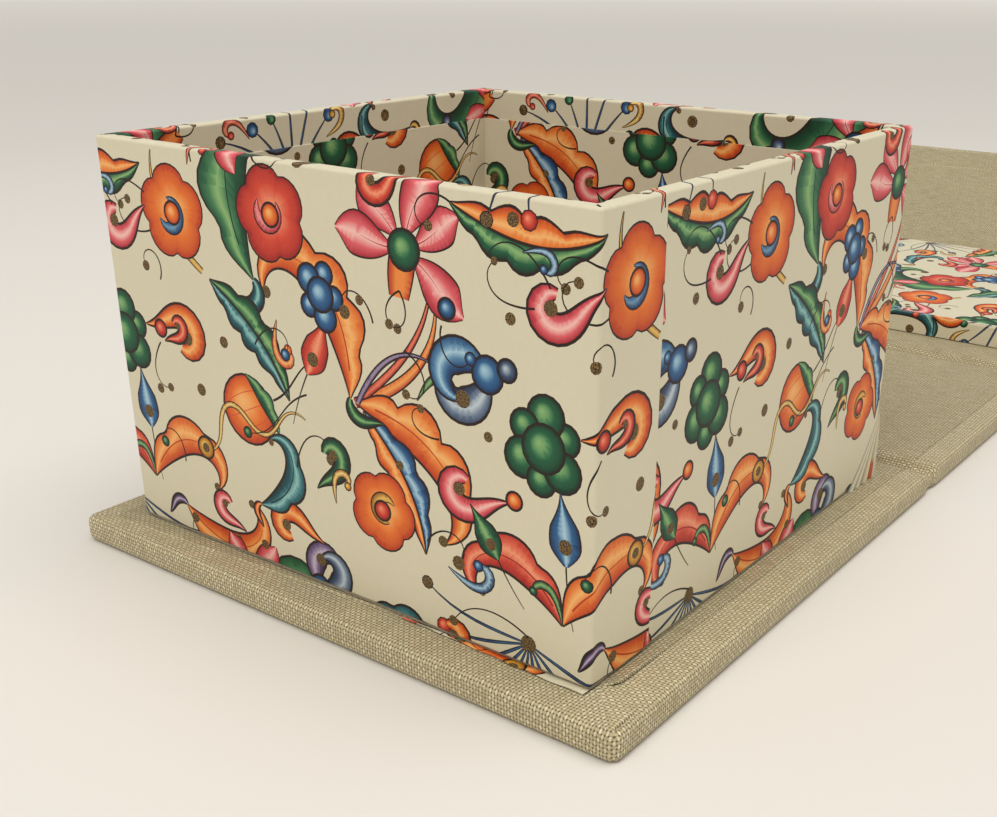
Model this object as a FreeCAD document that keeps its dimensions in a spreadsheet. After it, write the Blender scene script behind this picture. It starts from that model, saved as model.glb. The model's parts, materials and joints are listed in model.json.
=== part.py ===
import FreeCAD, Part
import os

import Sketcher
from FreeCAD import Vector

# Open note box: a paper-covered tray glued to the base board of a cloth-covered hinged case.
# Origin: centre of the tray's footprint, on the face that the case rests on. +Z up, millimetres.
# +X runs from the tray along the opened case: base, joint, spine, joint, lid, joint, flap.

doc = FreeCAD.newDocument("note_box")
sheet = doc.addObject("Spreadsheet::Sheet", "Dims")
sheet.Label = "Dimensions"

driving = [
    ("tray_length", 100, "outside of the tray along X, over the paper"),
    ("tray_width", 100, "outside of the tray along Y, over the paper"),
    ("tray_height", 68, "foot to rim"),
    ("tray_board", 2.4, "board of the four walls"),
    ("floor_board", 2.4, "board of the tray's floor"),
    ("paper_thick", 0.2, "every paper: cover and linings"),
    ("corner_round", 0.6, "upright outer edges of the tray boards"),
    ("rim_round", 0.5, "paper folded over the rim"),
    ("rim_turn_in", 12, "cover paper folded down inside the rim"),
    ("lining_drop", 6, "rim to the top edge of the wall lining"),
    ("foot_turn_in", 10, "cover paper folded under the foot"),
    ("seam_distance", 15, "upright seam of the cover paper, from the front right corner"),
    ("seam_overlap", 10, "width of the double layer at that seam"),
    ("fore_margin", 7, "base board in front of the tray"),
    ("joint_margin", 7.6, "base board behind the tray"),
    ("side_margin", 9, "base board beside the tray"),
    ("case_board", 4, "board of base, spine, lid and flap"),
    ("cloth_thick", 0.4, "book cloth"),
    ("edge_roll", 0.8, "rounded free edges of the case boards"),
    ("cloth_turn_in", 15, "cloth folded over onto the inside"),
    ("lining_side_margin", 5, "head and tail to the lining's edge"),
    ("lining_fore_margin", 3, "free end to the lining's edge"),
    ("joint_gap", 5.7, "cloth between two boards"),
    ("joint_clearance", 0.4, "lined board edge to the leaf that stands beside it"),
    ("axis_height", 1.4, "fold axis above the outer face of the cloth"),
    ("rim_clearance", 0.3, "closed lid above the rim"),
    ("panel_board", 5.5, "raised board inside the lid"),
    ("panel_clearance", 0.9, "panel to the tray's lined walls"),
    ("panel_round", 0.6, "edges of the covered panel"),
    ("lining_clearance", 0.3, "floor lining to the wall lining"),
    ("flap_lift", 20.5, "degrees that the opened flap stands up"),
]
derived = [
    ("cloth_top", "=case_board + 2 * cloth_thick"),
    ("leaf_thick", "=cloth_top + paper_thick"),
    ("case_width", "=tray_width + 2 * side_margin"),
    ("base_length", "=tray_length + fore_margin + joint_margin"),
    ("inner_reach", "=paper_thick + joint_clearance + leaf_thick - axis_height"),
    ("outer_reach", "=joint_gap - inner_reach"),
    ("rim_level", "=leaf_thick + tray_height"),
    ("spine_length", "=rim_level + rim_clearance + leaf_thick - 2 * axis_height - 2 * outer_reach"),
    ("lid_length", "=base_length"),
    ("flap_length", "=spine_length"),
    ("base_x", "=(joint_margin - fore_margin) / 2"),
    ("spine_axis_x", "=tray_length / 2 + joint_margin + inner_reach"),
    ("spine_x", "=spine_axis_x + outer_reach + spine_length / 2"),
    ("lid_axis_x", "=spine_axis_x + 2 * outer_reach + spine_length"),
    ("lid_x", "=lid_axis_x + inner_reach + lid_length / 2"),
    ("panel_x", "=lid_axis_x + spine_axis_x"),
    ("flap_axis_x", "=lid_axis_x + 2 * inner_reach + lid_length"),
    ("flap_arm", "=outer_reach + flap_length / 2"),
    ("flap_x", "=flap_axis_x + flap_arm * cos(flap_lift) + axis_height * sin(flap_lift)"),
    ("flap_z", "=axis_height + flap_arm * sin(flap_lift) - axis_height * cos(flap_lift)"),
    ("wall_height", "=tray_height - 2 * paper_thick"),
    ("wall_thick", "=tray_board + 2 * paper_thick"),
    ("opening_length", "=tray_length - 2 * (wall_thick + paper_thick)"),
    ("opening_width", "=tray_width - 2 * (wall_thick + paper_thick)"),
    ("panel_length", "=opening_length - 2 * panel_clearance"),
    ("panel_width", "=opening_width - 2 * panel_clearance"),
    ("roll_inside", "=min(edge_roll; 0.4 * case_board)"),
    ("roll_outside", "=roll_inside + cloth_thick"),
    ("rim_fold", "=min(rim_round; 3 * paper_thick)"),
    ("panel_fold", "=min(panel_round; 3 * paper_thick)"),
]
for row, (alias, value, note) in enumerate(driving, start=1):
    sheet.set(f"A{row}", alias)
    sheet.set(f"B{row}", str(value))
    sheet.setAlias(f"B{row}", alias)
    sheet.set(f"C{row}", note)
for row, (alias, formula) in enumerate(derived, start=len(driving) + 1):
    sheet.set(f"A{row}", alias)
    sheet.set(f"B{row}", formula)
    sheet.setAlias(f"B{row}", alias)
doc.recompute()

cells = {alias for alias, *rest in driving + derived}
sub_parts = []


def bound(formula):
    """Formula in the names of the sheet's cells, as an expression on the sheet."""
    words = formula.replace("(", " ( ").replace(")", " ) ").split()
    return " ".join(f"Dims.{word}" if word in cells else word for word in words)


def size(alias):
    return float(sheet.get(alias))


def new_body(name, x="0", y="0", z="0"):
    body = doc.addObject("PartDesign::Body", name)
    body.Label = name
    for axis, formula in zip("xyz", (x, y, z)):
        body.setExpression(f"Placement.Base.{axis}", bound(formula))
    sub_parts.append(body)
    return body


def rectangles(body, name, outlines, level):
    """Sketch of nested rectangles (left, right, near, far) on the body's XY plane at a level."""
    sketch = body.newObject("Sketcher::SketchObject", name)
    planes = {feature.Role: feature for feature in body.Origin.OriginFeatures}
    sketch.AttachmentSupport = [(planes["XY_Plane"], "")]
    sketch.MapMode = "FlatFace"
    sketch.setExpression("AttachmentOffset.Base.z", bound(level))
    for number, outline in enumerate(outlines):
        first = 4 * number
        corners = [Vector(-1, -1, 0), Vector(1, -1, 0), Vector(1, 1, 0), Vector(-1, 1, 0)]
        for here, there in zip(corners, corners[1:] + corners[:1]):
            sketch.addGeometry(Part.LineSegment(here, there), False)
        for side in range(4):
            joined = (first + side, 2, first + (side + 1) % 4, 1)
            sketch.addConstraint(Sketcher.Constraint("Coincident", *joined))
            direction = "Vertical" if side % 2 else "Horizontal"
            sketch.addConstraint(Sketcher.Constraint(direction, first + side))
        places = (("left", "DistanceX", 0), ("right", "DistanceX", 1),
                  ("near", "DistanceY", 0), ("far", "DistanceY", 2))
        for (label, direction, side), formula in zip(places, outline):
            from_origin = Sketcher.Constraint(direction, -1, 1, first + side, 1, 1.0)
            sketch.renameConstraint(sketch.addConstraint(from_origin), f"{label}{number}")
            sketch.setExpression(f"Constraints.{label}{number}", bound(formula))
    return sketch


def centred(half_length, half_width):
    return (f"-1 * ( {half_length} )", half_length, f"-1 * ( {half_width} )", half_width)


def tray_inset(inset):
    """The tray's outline, moved inwards."""
    return centred(f"tray_length / 2 - ( {inset} )", f"tray_width / 2 - ( {inset} )")


def pad(body, name, height, *outlines, level="0"):
    """Sheet or board of the given height, standing up from the level."""
    feature = body.newObject("PartDesign::Pad", name)
    feature.Profile = rectangles(body, f"{name}_outline", outlines, level)
    feature.setExpression("Length", bound(height))
    return feature


def pocket(body, name, depth, *outlines, level):
    """Room cut downwards from the level."""
    feature = body.newObject("PartDesign::Pocket", name)
    feature.Profile = rectangles(body, f"{name}_outline", outlines, level)
    feature.setExpression("Length", bound(depth))
    return feature


def fillet(body, name, base, radius, chosen):
    """Round the edges of the base feature for which chosen(edge's box) holds."""
    doc.recompute()
    edges = enumerate(base.Shape.Edges, start=1)
    names = [f"Edge{index}" for index, edge in edges if chosen(edge.BoundBox)]
    feature = body.newObject("PartDesign::Fillet", name)
    feature.Base = (base, names)
    feature.setExpression("Radius", bound(radius))
    return feature


def same(value, target):
    return abs(value - target) < 0.001


def upright(box):
    return same(box.XLength, 0) and same(box.YLength, 0)


def at_corner(box, half_length, half_width):
    """Upright edge at a corner of a block centred on the origin."""
    return upright(box) and same(abs(box.XMin), half_length) and same(abs(box.YMin), half_width)


# The tray's boards: a floor inside four walls, front and back running the full width
tray_z = "leaf_thick + paper_thick"
floor_end = "tray_length / 2 - paper_thick - tray_board"
floor_side = "tray_width / 2 - paper_thick - tray_board"
floor = new_body("tray_floor_board", z=tray_z)
pad(floor, "floor_sheet", "floor_board", centred(floor_end, floor_side))

for name, sign in (("tray_front_board", -1), ("tray_back_board", 1)):
    wall = new_body(name, x=f"{sign} * ( tray_length / 2 - paper_thick - tray_board / 2 )", z=tray_z)
    wall_sheet = pad(wall, f"{name}_sheet", "wall_height",
                     centred("tray_board / 2", "tray_width / 2 - paper_thick"))
    outer_face = sign * size("tray_board") / 2
    fillet(wall, f"{name}_round", wall_sheet, "corner_round",
           lambda box: upright(box) and same(box.XMin, outer_face))

for name, sign in (("tray_right_board", -1), ("tray_left_board", 1)):
    wall = new_body(name, y=f"{sign} * ( tray_width / 2 - paper_thick - tray_board / 2 )", z=tray_z)
    pad(wall, f"{name}_sheet", "wall_height", centred(floor_end, "tray_board / 2"))

# The cover paper: one sheet round the outside, folded in over the rim and under the foot
cover = new_body("tray_cover_paper", z="leaf_thick")
pad(cover, "cover_block", "tray_height", tray_inset("0"))
pocket(cover, "cover_opening", "tray_height - paper_thick", tray_inset("wall_thick"), level="tray_height")
pocket(cover, "foot_opening", "paper_thick", tray_inset("foot_turn_in"), level="paper_thick")
pocket(cover, "board_room", "wall_height", tray_inset("paper_thick"),
       tray_inset("paper_thick + tray_board"), level="tray_height - paper_thick")
below_turn_in = pocket(cover, "below_turn_in", "tray_height - rim_turn_in - paper_thick",
                       tray_inset("paper_thick + tray_board / 2"), tray_inset("wall_thick"),
                       level="tray_height - rim_turn_in")
outer_end, outer_side = size("tray_length") / 2, size("tray_width") / 2
paper = size("paper_thick")
inner_fold = fillet(cover, "corner_fold_inside", below_turn_in, "corner_round",
                    lambda box: at_corner(box, outer_end - paper, outer_side - paper))
outer_fold = fillet(cover, "corner_fold_outside", inner_fold, "corner_round + paper_thick",
                    lambda box: at_corner(box, outer_end, outer_side))
rim = size("tray_height")
fillet(cover, "rim_fold", outer_fold, "rim_fold", lambda box: same(box.ZMin, rim))
seam = "( seam_distance - tray_length / 2 )"
pad(cover, "seam_layer", "tray_height - 2 * rim_fold",
    (f"{seam} - seam_overlap", seam, "-1 * ( tray_width / 2 + paper_thick )", "-1 * tray_width / 2"),
    level="rim_fold")

# The linings: a band round the walls that laps the turned-in cover, and a square on the floor
wall_lining = new_body("tray_wall_lining", z=f"{tray_z} + floor_board")
pad(wall_lining, "lining_band", "wall_height + paper_thick - lining_drop - floor_board",
    tray_inset("wall_thick"), tray_inset("wall_thick + paper_thick"))
floor_lining = new_body("tray_floor_lining", z=f"{tray_z} + floor_board")
pad(floor_lining, "floor_lining_sheet", "paper_thick",
    tray_inset("wall_thick + paper_thick + lining_clearance"))


class Leaf:
    """
    One board of the case with its share of the cloth and of the lining.
    The cloth wraps the free edges. At a joint, cloth and lining run on to the fold axis.
    """

    def __init__(self, name, x, reach, free_ends=(), z="0"):
        self.name, self.place = name, {"x": x, "z": z}
        self.length, self.reach = f"{name}_length", reach
        self.free_ends = free_ends
        self.board()
        self.cloth()
        self.lining()

    def span(self, at_free, at_joint, half_width):
        """Outline from end to end, each end moved outwards by what belongs to its kind."""
        low, high = (at_free if end in self.free_ends else at_joint for end in (-1, 1))
        return (f"-1 * ( {self.length} / 2 + {low} )", f"{self.length} / 2 + {high}",
                f"-1 * ( {half_width} )", half_width)

    def inset(self, distance):
        return centred(f"{self.length} / 2 - ( {distance} )", f"case_width / 2 - ( {distance} )")

    def strip(self, end, start, stop, half_width):
        """Outline at one end, from start to stop beyond the board's edge."""
        edges = [f"{end} * ( {self.length} / 2 + {distance} )" for distance in (start, stop)]
        return (*edges[::end], f"-1 * ( {half_width} )", half_width)

    def rolled(self, block):
        """Test for the block's edges along its sides and its free ends."""
        doc.recompute()
        whole = block.Shape.BoundBox
        ends = {-1: whole.XMin, 1: whole.XMax}

        def chosen(box):
            on_side = same(box.YLength, 0) and same(abs(box.YMin), whole.YMax)
            at_end = {end: same(box.XLength, 0) and same(box.XMin, place) for end, place in ends.items()}
            at_free = any(at_end[end] for end in self.free_ends)
            return at_free or (on_side and not any(at_end.values()))

        return chosen

    def joints(self):
        return [end for end in (-1, 1) if end not in self.free_ends]

    def board(self):
        body = new_body(f"{self.name}_board", **self.place)
        block = pad(body, f"{self.name}_sheet", "case_board",
                    self.span("( -1 * cloth_thick )", "0", "case_width / 2 - cloth_thick"),
                    level="cloth_thick")
        fillet(body, f"{self.name}_rubbed_edge", block, "roll_inside", self.rolled(block))

    def cloth(self):
        """Cloth outside, round the edges and turned in over the inside, open at the joints."""
        name = self.name
        body = new_body(f"{name}_cloth", **self.place)
        block = pad(body, f"{name}_cloth_block", "cloth_top", self.span("0", "0", "case_width / 2"))
        fillet(body, f"{name}_cloth_roll", block, "roll_outside", self.rolled(block))
        pocket(body, f"{name}_board_room", "case_board",
               self.span("( -1 * cloth_thick )", "cloth_thick", "case_width / 2 - cloth_thick"),
               level="cloth_thick + case_board")
        pocket(body, f"{name}_turn_in_window", "cloth_thick",
               self.span("( -1 * cloth_turn_in )", "cloth_thick", "case_width / 2 - cloth_turn_in"),
               level="cloth_top")
        for end in self.joints():
            pad(body, f"{name}_joint_cloth{end + 1}", "cloth_thick",
                self.strip(end, "0", self.reach, "case_width / 2"))

    def lining(self):
        """Paper laid over the turned-in cloth, pressed down onto the board and into the joints."""
        name = self.name
        half_width = "case_width / 2 - lining_side_margin"
        body = new_body(f"{name}_lining", **self.place)
        pad(body, f"{name}_lining_sheet", "paper_thick",
            self.span("( -1 * lining_fore_margin )", "paper_thick", half_width), level="cloth_top")
        for end in self.joints():
            pad(body, f"{name}_joint_wall{end + 1}", "case_board + cloth_thick",
                self.strip(end, "0", "paper_thick", half_width), level="cloth_thick")
            pad(body, f"{name}_joint_lining{end + 1}", "paper_thick",
                self.strip(end, "0", self.reach, half_width), level="cloth_thick")
        pad(body, f"{name}_pressed_block", "cloth_thick + paper_thick",
            self.inset("cloth_turn_in"), level="cloth_thick + case_board")
        pocket(body, f"{name}_pressed_room", "cloth_thick",
               self.inset("cloth_turn_in + paper_thick"), level="leaf_thick")


Leaf("base", "base_x", "inner_reach", free_ends=(-1,))
Leaf("spine", "spine_x", "outer_reach")
Leaf("lid", "lid_x", "inner_reach")
Leaf("flap", "flap_x", "outer_reach", free_ends=(1,), z="flap_z")
for body in sub_parts[-3:]:
    body.Placement.Rotation = FreeCAD.Rotation(Vector(0, -1, 0), 1)
    body.setExpression("Placement.Rotation.Angle", "Dims.flap_lift")

# The raised panel inside the lid, which drops into the tray when the case is shut
inside_paper = centred("panel_length / 2 - paper_thick", "panel_width / 2 - paper_thick")
panel_board = new_body("lid_panel_board", x="panel_x", z="leaf_thick")
pad(panel_board, "panel_sheet", "panel_board", inside_paper)
panel_paper = new_body("lid_panel_paper", x="panel_x", z="leaf_thick")
panel_block = pad(panel_paper, "panel_block", "panel_board + paper_thick",
                  centred("panel_length / 2", "panel_width / 2"))
fillet(panel_paper, "panel_fold", panel_block, "panel_fold", lambda box: box.ZMax > paper)
pocket(panel_paper, "panel_room", "panel_board", inside_paper, level="panel_board")

doc.recompute()
for item in doc.Objects:
    if "Invalid" in item.State or "Error" in item.State:
        raise RuntimeError(f"{item.Label} failed: {item.State}")
for body in sub_parts:
    if body.Shape.isNull() or not body.Shape.isValid():
        raise RuntimeError(f"{body.Label} has no valid shape")

os.makedirs("parts", exist_ok=True)
for body in sub_parts:
    body.Shape.exportStep(f"parts/{body.Label}.step")
    box = body.Shape.BoundBox
    corners = [round(value, 2) for value in (box.XMin, box.XMax, box.YMin, box.YMax, box.ZMin, box.ZMax)]
    print(f"{body.Label:18s} {len(body.Shape.Solids)} solid {body.Shape.Volume:9.1f} mm3", *corners)
for alias in ("spine_axis_x", "lid_axis_x", "flap_axis_x", "axis_height", "panel_x"):
    print(alias, round(size(alias), 3))
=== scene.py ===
import json
import math
import bpy
import numpy as np
from mathutils import Matrix, Vector
from mathutils.geometry import delaunay_2d_cdt

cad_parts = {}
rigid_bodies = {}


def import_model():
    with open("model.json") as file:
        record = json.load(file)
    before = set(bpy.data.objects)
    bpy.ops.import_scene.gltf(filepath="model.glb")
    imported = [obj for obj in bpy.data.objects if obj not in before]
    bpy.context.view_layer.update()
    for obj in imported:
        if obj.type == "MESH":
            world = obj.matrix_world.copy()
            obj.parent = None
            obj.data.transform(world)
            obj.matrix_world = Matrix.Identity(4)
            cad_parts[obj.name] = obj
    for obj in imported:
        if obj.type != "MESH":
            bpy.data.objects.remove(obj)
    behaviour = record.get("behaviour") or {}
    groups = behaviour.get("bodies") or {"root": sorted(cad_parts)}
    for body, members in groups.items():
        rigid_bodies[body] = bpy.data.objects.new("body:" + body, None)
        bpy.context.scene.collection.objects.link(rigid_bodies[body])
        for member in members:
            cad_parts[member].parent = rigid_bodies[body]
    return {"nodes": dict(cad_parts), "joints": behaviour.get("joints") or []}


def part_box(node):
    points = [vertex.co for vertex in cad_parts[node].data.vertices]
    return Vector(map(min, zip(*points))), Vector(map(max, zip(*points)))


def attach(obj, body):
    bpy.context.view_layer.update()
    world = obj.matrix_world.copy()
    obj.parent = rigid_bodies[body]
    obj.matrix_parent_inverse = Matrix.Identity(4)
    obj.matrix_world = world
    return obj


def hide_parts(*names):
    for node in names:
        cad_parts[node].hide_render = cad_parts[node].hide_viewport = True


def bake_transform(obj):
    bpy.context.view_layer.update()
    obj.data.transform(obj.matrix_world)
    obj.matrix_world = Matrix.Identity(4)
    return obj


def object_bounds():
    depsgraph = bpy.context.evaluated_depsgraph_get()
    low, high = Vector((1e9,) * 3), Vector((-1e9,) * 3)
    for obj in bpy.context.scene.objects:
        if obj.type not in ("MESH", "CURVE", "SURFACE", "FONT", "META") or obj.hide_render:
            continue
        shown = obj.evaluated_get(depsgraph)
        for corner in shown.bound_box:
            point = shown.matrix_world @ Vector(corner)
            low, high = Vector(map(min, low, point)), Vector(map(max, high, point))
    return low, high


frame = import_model()
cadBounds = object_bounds()
mm = 0.001
merge = 0.002  # corners nearer than this are one, in millimetres


def box(node):  # a node's lowest and highest corners, in millimetres
    low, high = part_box(node)
    return np.array(low) / mm, np.array(high) / mm


# Camera, solved from the tray's edges, in millimetres
camera = dict(
    place=(-173.44, -132.79, 101.17), right=(0.58895, -0.80812, 0.00941), up=(0.32026, 0.24406, 0.91535),
    forward=(0.74201, 0.53608, -0.40254), lens=44.54, sensor=36.0, shiftX=-0.0574, shiftY=0.0845)


def setCamera():
    data = bpy.data.cameras.new("camera")
    data.lens, data.sensor_width, data.sensor_fit = camera["lens"], camera["sensor"], "HORIZONTAL"
    data.shift_x, data.shift_y = camera["shiftX"], camera["shiftY"]
    data.clip_start, data.clip_end = 0.01, 50
    obj = bpy.data.objects.new("camera", data)
    bpy.context.scene.collection.objects.link(obj)
    right, up, back = Vector(camera["right"]), Vector(camera["up"]), -Vector(camera["forward"])
    turn = Matrix((right, up, back)).transposed().to_4x4()
    obj.matrix_world = Matrix.Translation(Vector(camera["place"]) * mm) @ turn
    bpy.context.scene.camera = obj


# Shader helpers
class Value:  # an output socket whose sums and products are Math nodes
    def __init__(self, finish, socket):
        self.finish, self.socket = finish, socket

    def math(self, operation, other=None, clamp=False):
        sockets = {0: self} if other is None else {0: self, 1: other}
        return self.finish.node("Math", {"operation": operation, "use_clamp": clamp}, sockets)

    def __add__(self, other):
        return self.math("ADD", other)

    def __mul__(self, other):
        return self.math("MULTIPLY", other)

    def __sub__(self, other):
        return self.math("SUBTRACT", other)

    def __rsub__(self, other):
        return self.finish.node("Math", {"operation": "SUBTRACT"}, {0: other, 1: self})

    def __truediv__(self, other):
        return self.math("DIVIDE", other)

    def __pow__(self, other):
        return self.math("POWER", other)

    def __abs__(self):
        return self.math("ABSOLUTE")

    def sine(self):
        return self.math("SINE")

    def clamped(self):
        return self.math("ADD", 0.0, True)

    __radd__ = __add__
    __rmul__ = __mul__


class Finish:  # a material and its nodes
    def __init__(self, name, **shader):
        self.material = bpy.data.materials.new(name)
        self.material.use_nodes = True
        self.tree = self.material.node_tree
        self.shader = self.tree.nodes["Principled BSDF"]
        for socket, value in shader.items():
            self.shader.inputs[socket.replace("_", " ")].default_value = value

    def node(self, kind, settings={}, sockets={}, output=0):
        made = self.tree.nodes.new("ShaderNode" + kind)
        for name, value in settings.items():
            if name == "stops":
                ramp = made.color_ramp.elements
                for place, colour in value[2:]:
                    ramp.new(place)
                for element, (place, colour) in zip(ramp, value):
                    element.position, element.color = place, colour
            else:
                setattr(made, name, value)
        for name, value in sockets.items():
            if isinstance(value, Value):
                self.tree.links.new(value.socket, made.inputs[name])
            else:
                made.inputs[name].default_value = value
        return Value(self, made.outputs[output])

    def noise(self, vector, scale, detail=2.0, rough=0.5):
        sockets = {"Vector": vector, "Scale": scale, "Detail": detail, "Roughness": rough}
        return self.node("TexNoise", {}, sockets)

    def part(self, vector, number):  # one coordinate of a vector
        return self.node("SeparateXYZ", {}, {0: vector}, number)

    def stretched(self, vector, x, y, z=1.0):
        return self.node("VectorMath", {"operation": "MULTIPLY"}, {0: vector, 1: (x, y, z)})

    def blend(self, share, first, second, kind="MIX"):
        settings = {"data_type": "RGBA", "blend_type": kind}
        return self.node("Mix", settings, {0: share, 6: first, 7: second}, 2)

    def bump(self, height, strength, distance):
        sockets = {"Height": height, "Strength": strength, "Distance": distance}
        self.set("Normal", self.node("Bump", {}, sockets))

    def set(self, socket, value):
        self.tree.links.new(value.socket, self.shader.inputs[socket])


def linear(colour):
    colour = np.asarray(colour, float)
    return np.where(colour <= 0.04045, colour / 12.92, ((colour + 0.055) / 1.055) ** 2.4)


def paint(red, green, blue):  # a colour as it looks on a screen, 0 to 255
    return (*linear(np.array([red, green, blue]) / 255).tolist(), 1.0)


# Warp with its painted highlight, weft, the painted shade between them and the painted shade in the holes, 0
# to 255
cloths = dict(
    bookCloth=((246, 237, 203), (208, 194, 152), (166, 150, 110), (104, 91, 60)),
    # the lining is the same cloth made darker all over, painted shade for the inside of the case
    shadedLiningCloth=((230, 221, 185), (194, 180, 139), (154, 139, 101), (98, 85, 56)))
weave = dict(acrossPitch=1.14, upPitch=1.3, wander=0.4)  # each pitch is one pair of threads, in millimetres


def bookCloth(name, warpHighlight, weft, shade, gap, sheen=0.1):
    # Plain weave, read from the cloth's flat map: warp lit with a painted highlight, duller weft, painted
    # shade in the dark holes between the crossings
    finish = Finish(name, Roughness=0.6, Sheen_Weight=sheen, Sheen_Roughness=0.4)
    flat = finish.node("UVMap", {"uv_map": "weave"})
    wander = (finish.noise(flat, 0.5, 3.0) - 0.5) * weave["wander"]
    across = (finish.part(flat, 0) + wander) * (2 * math.pi / weave["acrossPitch"])
    up = (finish.part(flat, 1) - wander) * (2 * math.pi / weave["upPitch"])
    first, second = across.sine(), up.sine()
    wide, long = abs(first), abs(second)
    over = (first * second * 2.4 + 0.62).clamped()  # 1 where the warp lies on top
    warpYarn = finish.noise(finish.stretched(flat, 1.5, 0.22), 1.0, 3.0, 0.6)
    weftYarn = finish.noise(finish.stretched(flat, 0.22, 1.5), 1.0, 3.0, 0.6)
    # painted highlight along the warp's crowns, streaked by the yarn, fading to painted shade at its flanks
    warpGlint = wide ** 0.8 * (warpYarn * 2.4 - 0.55).clamped()
    # the weft lit along its crowns, fading to painted shade at its flanks
    weftCrownLight = long ** 0.8 * (weftYarn * 1.8 - 0.2).clamped()
    hole = ((1 - wide) * (1 - long) * 2.6 - 0.35).clamped()
    worn = finish.noise(flat, 0.04, 3.0, 0.6)
    threads = finish.blend(over, finish.blend(weftCrownLight, shade, weft), finish.blend(warpGlint, shade, warpHighlight))
    # painted shade in the holes between the crossings
    whole = finish.blend(hole, threads, gap)
    dulled = finish.blend(0.12, whole, gap)
    finish.set("Base Color", finish.blend((worn * 1.8 - 0.5).clamped(), dulled, whole))
    finish.set("Roughness", 0.85 - warpGlint * over * 0.45)
    finish.bump(wide ** 0.5 * over + long ** 0.5 * (1 - over) * 0.8 - hole * 0.5, 0.7, 0.00022)
    return finish.material


def printedPaper(name):
    finish = Finish(name, Roughness=0.5, Specular_IOR_Level=0.35)
    ink = finish.node("VertexColor", {"layer_name": "print"})
    speck = finish.node("Attribute", {"attribute_name": "gold"}, output=2)
    place = finish.node("TexCoord", output=3)
    glitter = finish.node("TexNoise", {}, {"Vector": place, "Scale": 5200.0, "Detail": 1.0})
    sparkle = finish.blend((glitter * 5.0 - 2.2).clamped(), paint(52, 38, 24), paint(150, 118, 66))
    fibre = finish.noise(place, 900.0, 3.0, 0.6)
    cloudy = finish.noise(place, 38.0, 2.0)
    tone = finish.blend((fibre * 1.4 - 0.2).clamped(), (0.955, 0.95, 0.94, 1), (1.0, 1.0, 1.0, 1))
    aged = finish.blend((cloudy * 1.6 - 0.3).clamped(), (0.97, 0.962, 0.94, 1), (1.0, 1.0, 1.0, 1))
    inked = finish.blend(speck, ink, sparkle)
    for stain in (tone, aged):
        inked = finish.blend(1.0, inked, stain, "MULTIPLY")
    finish.set("Base Color", inked)
    finish.set("Roughness", 0.42 + fibre * 0.22)
    finish.bump(fibre * 0.6 + cloudy * 1.5, 0.25, 0.00006)
    return finish.material


def greyBoard():
    finish = Finish("greyBoard", Roughness=0.9)
    place = finish.node("TexCoord", output=3)
    fibre = finish.noise(finish.stretched(place, 1, 1, 3.5), 700.0, 4.0, 0.65)
    fleck = finish.noise(place, 2600.0, 1.0)
    pulp = finish.blend((fibre * 2 - 0.5).clamped(), paint(132, 122, 106), paint(170, 160, 142))
    finish.set("Base Color", finish.blend((fleck * 6 - 3.9).clamped(), pulp, paint(84, 74, 62)))
    finish.bump(fibre, 0.4, 0.0001)
    return finish.material


# The print: strokes on the flat sheet, in millimetres
cream = (0.872, 0.842, 0.738)
inks = dict(  # rim, body and light of each ink
    orange=((0.74, 0.22, 0.08), (0.92, 0.46, 0.16), (0.99, 0.74, 0.45)),
    red=((0.62, 0.11, 0.10), (0.85, 0.28, 0.19), (0.97, 0.62, 0.47)),
    pink=((0.68, 0.14, 0.20), (0.89, 0.38, 0.41), (0.99, 0.78, 0.74)),
    green=((0.03, 0.19, 0.12), (0.10, 0.37, 0.24), (0.56, 0.73, 0.47)),
    teal=((0.03, 0.19, 0.22), (0.10, 0.37, 0.41), (0.58, 0.78, 0.76)),
    blue=((0.06, 0.18, 0.36), (0.18, 0.39, 0.58), (0.68, 0.82, 0.89)),
    slate=((0.11, 0.16, 0.27), (0.31, 0.39, 0.51), (0.77, 0.82, 0.85)),
    violet=((0.20, 0.12, 0.27), (0.41, 0.32, 0.50), (0.79, 0.73, 0.80)),
    straw=((0.58, 0.34, 0.07), (0.84, 0.61, 0.20), (0.98, 0.87, 0.55)),
    gold=((0.20, 0.13, 0.07), (0.36, 0.26, 0.13), (0.44, 0.33, 0.17)))
lineInk = (0.15, 0.085, 0.06)
repeat = (90.0, 79.0)  # width and height after which the print starts again


class Ink:  # four-cornered cells: x, y, layer, red, green, blue, gold at each corner
    def __init__(self):
        self.cells, self.layer = [], 1

    def grid(self, points, colours, gold=0.0):
        corners = np.empty((*points.shape[:2], 7))
        corners[..., :2], corners[..., 2] = points, self.layer
        corners[..., 3:6], corners[..., 6] = colours, gold
        cell = (corners[:-1, :-1], corners[1:, :-1], corners[1:, 1:], corners[:-1, 1:])
        self.cells.append(np.stack(cell, axis=2).reshape(-1, 4, 7))

    def over(self):  # what follows lies on top
        self.layer += 1


def curve(x, y, heading, arcs, steps=17):  # bends through arcs of (length, degrees)
    lengths, bends = np.array([arc[0] for arc in arcs], float), np.radians([arc[1] for arc in arcs])
    along = np.linspace(0, lengths.sum(), steps)
    curvature = np.interp(along, np.cumsum(lengths) - lengths / 2, bends / lengths)
    turned = np.cumsum((curvature[1:] + curvature[:-1]) / 2 * along[1])
    angle = math.radians(heading) + np.concatenate([[0], turned])
    middle = (angle[1:] + angle[:-1]) / 2
    moves = np.stack([np.cos(middle), np.sin(middle)], 1) * along[1]
    points = np.array([[x, y]]) + np.concatenate([[[0, 0]], np.cumsum(moves, axis=0)])
    return points, np.stack([-np.sin(angle), np.cos(angle)], 1)


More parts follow.
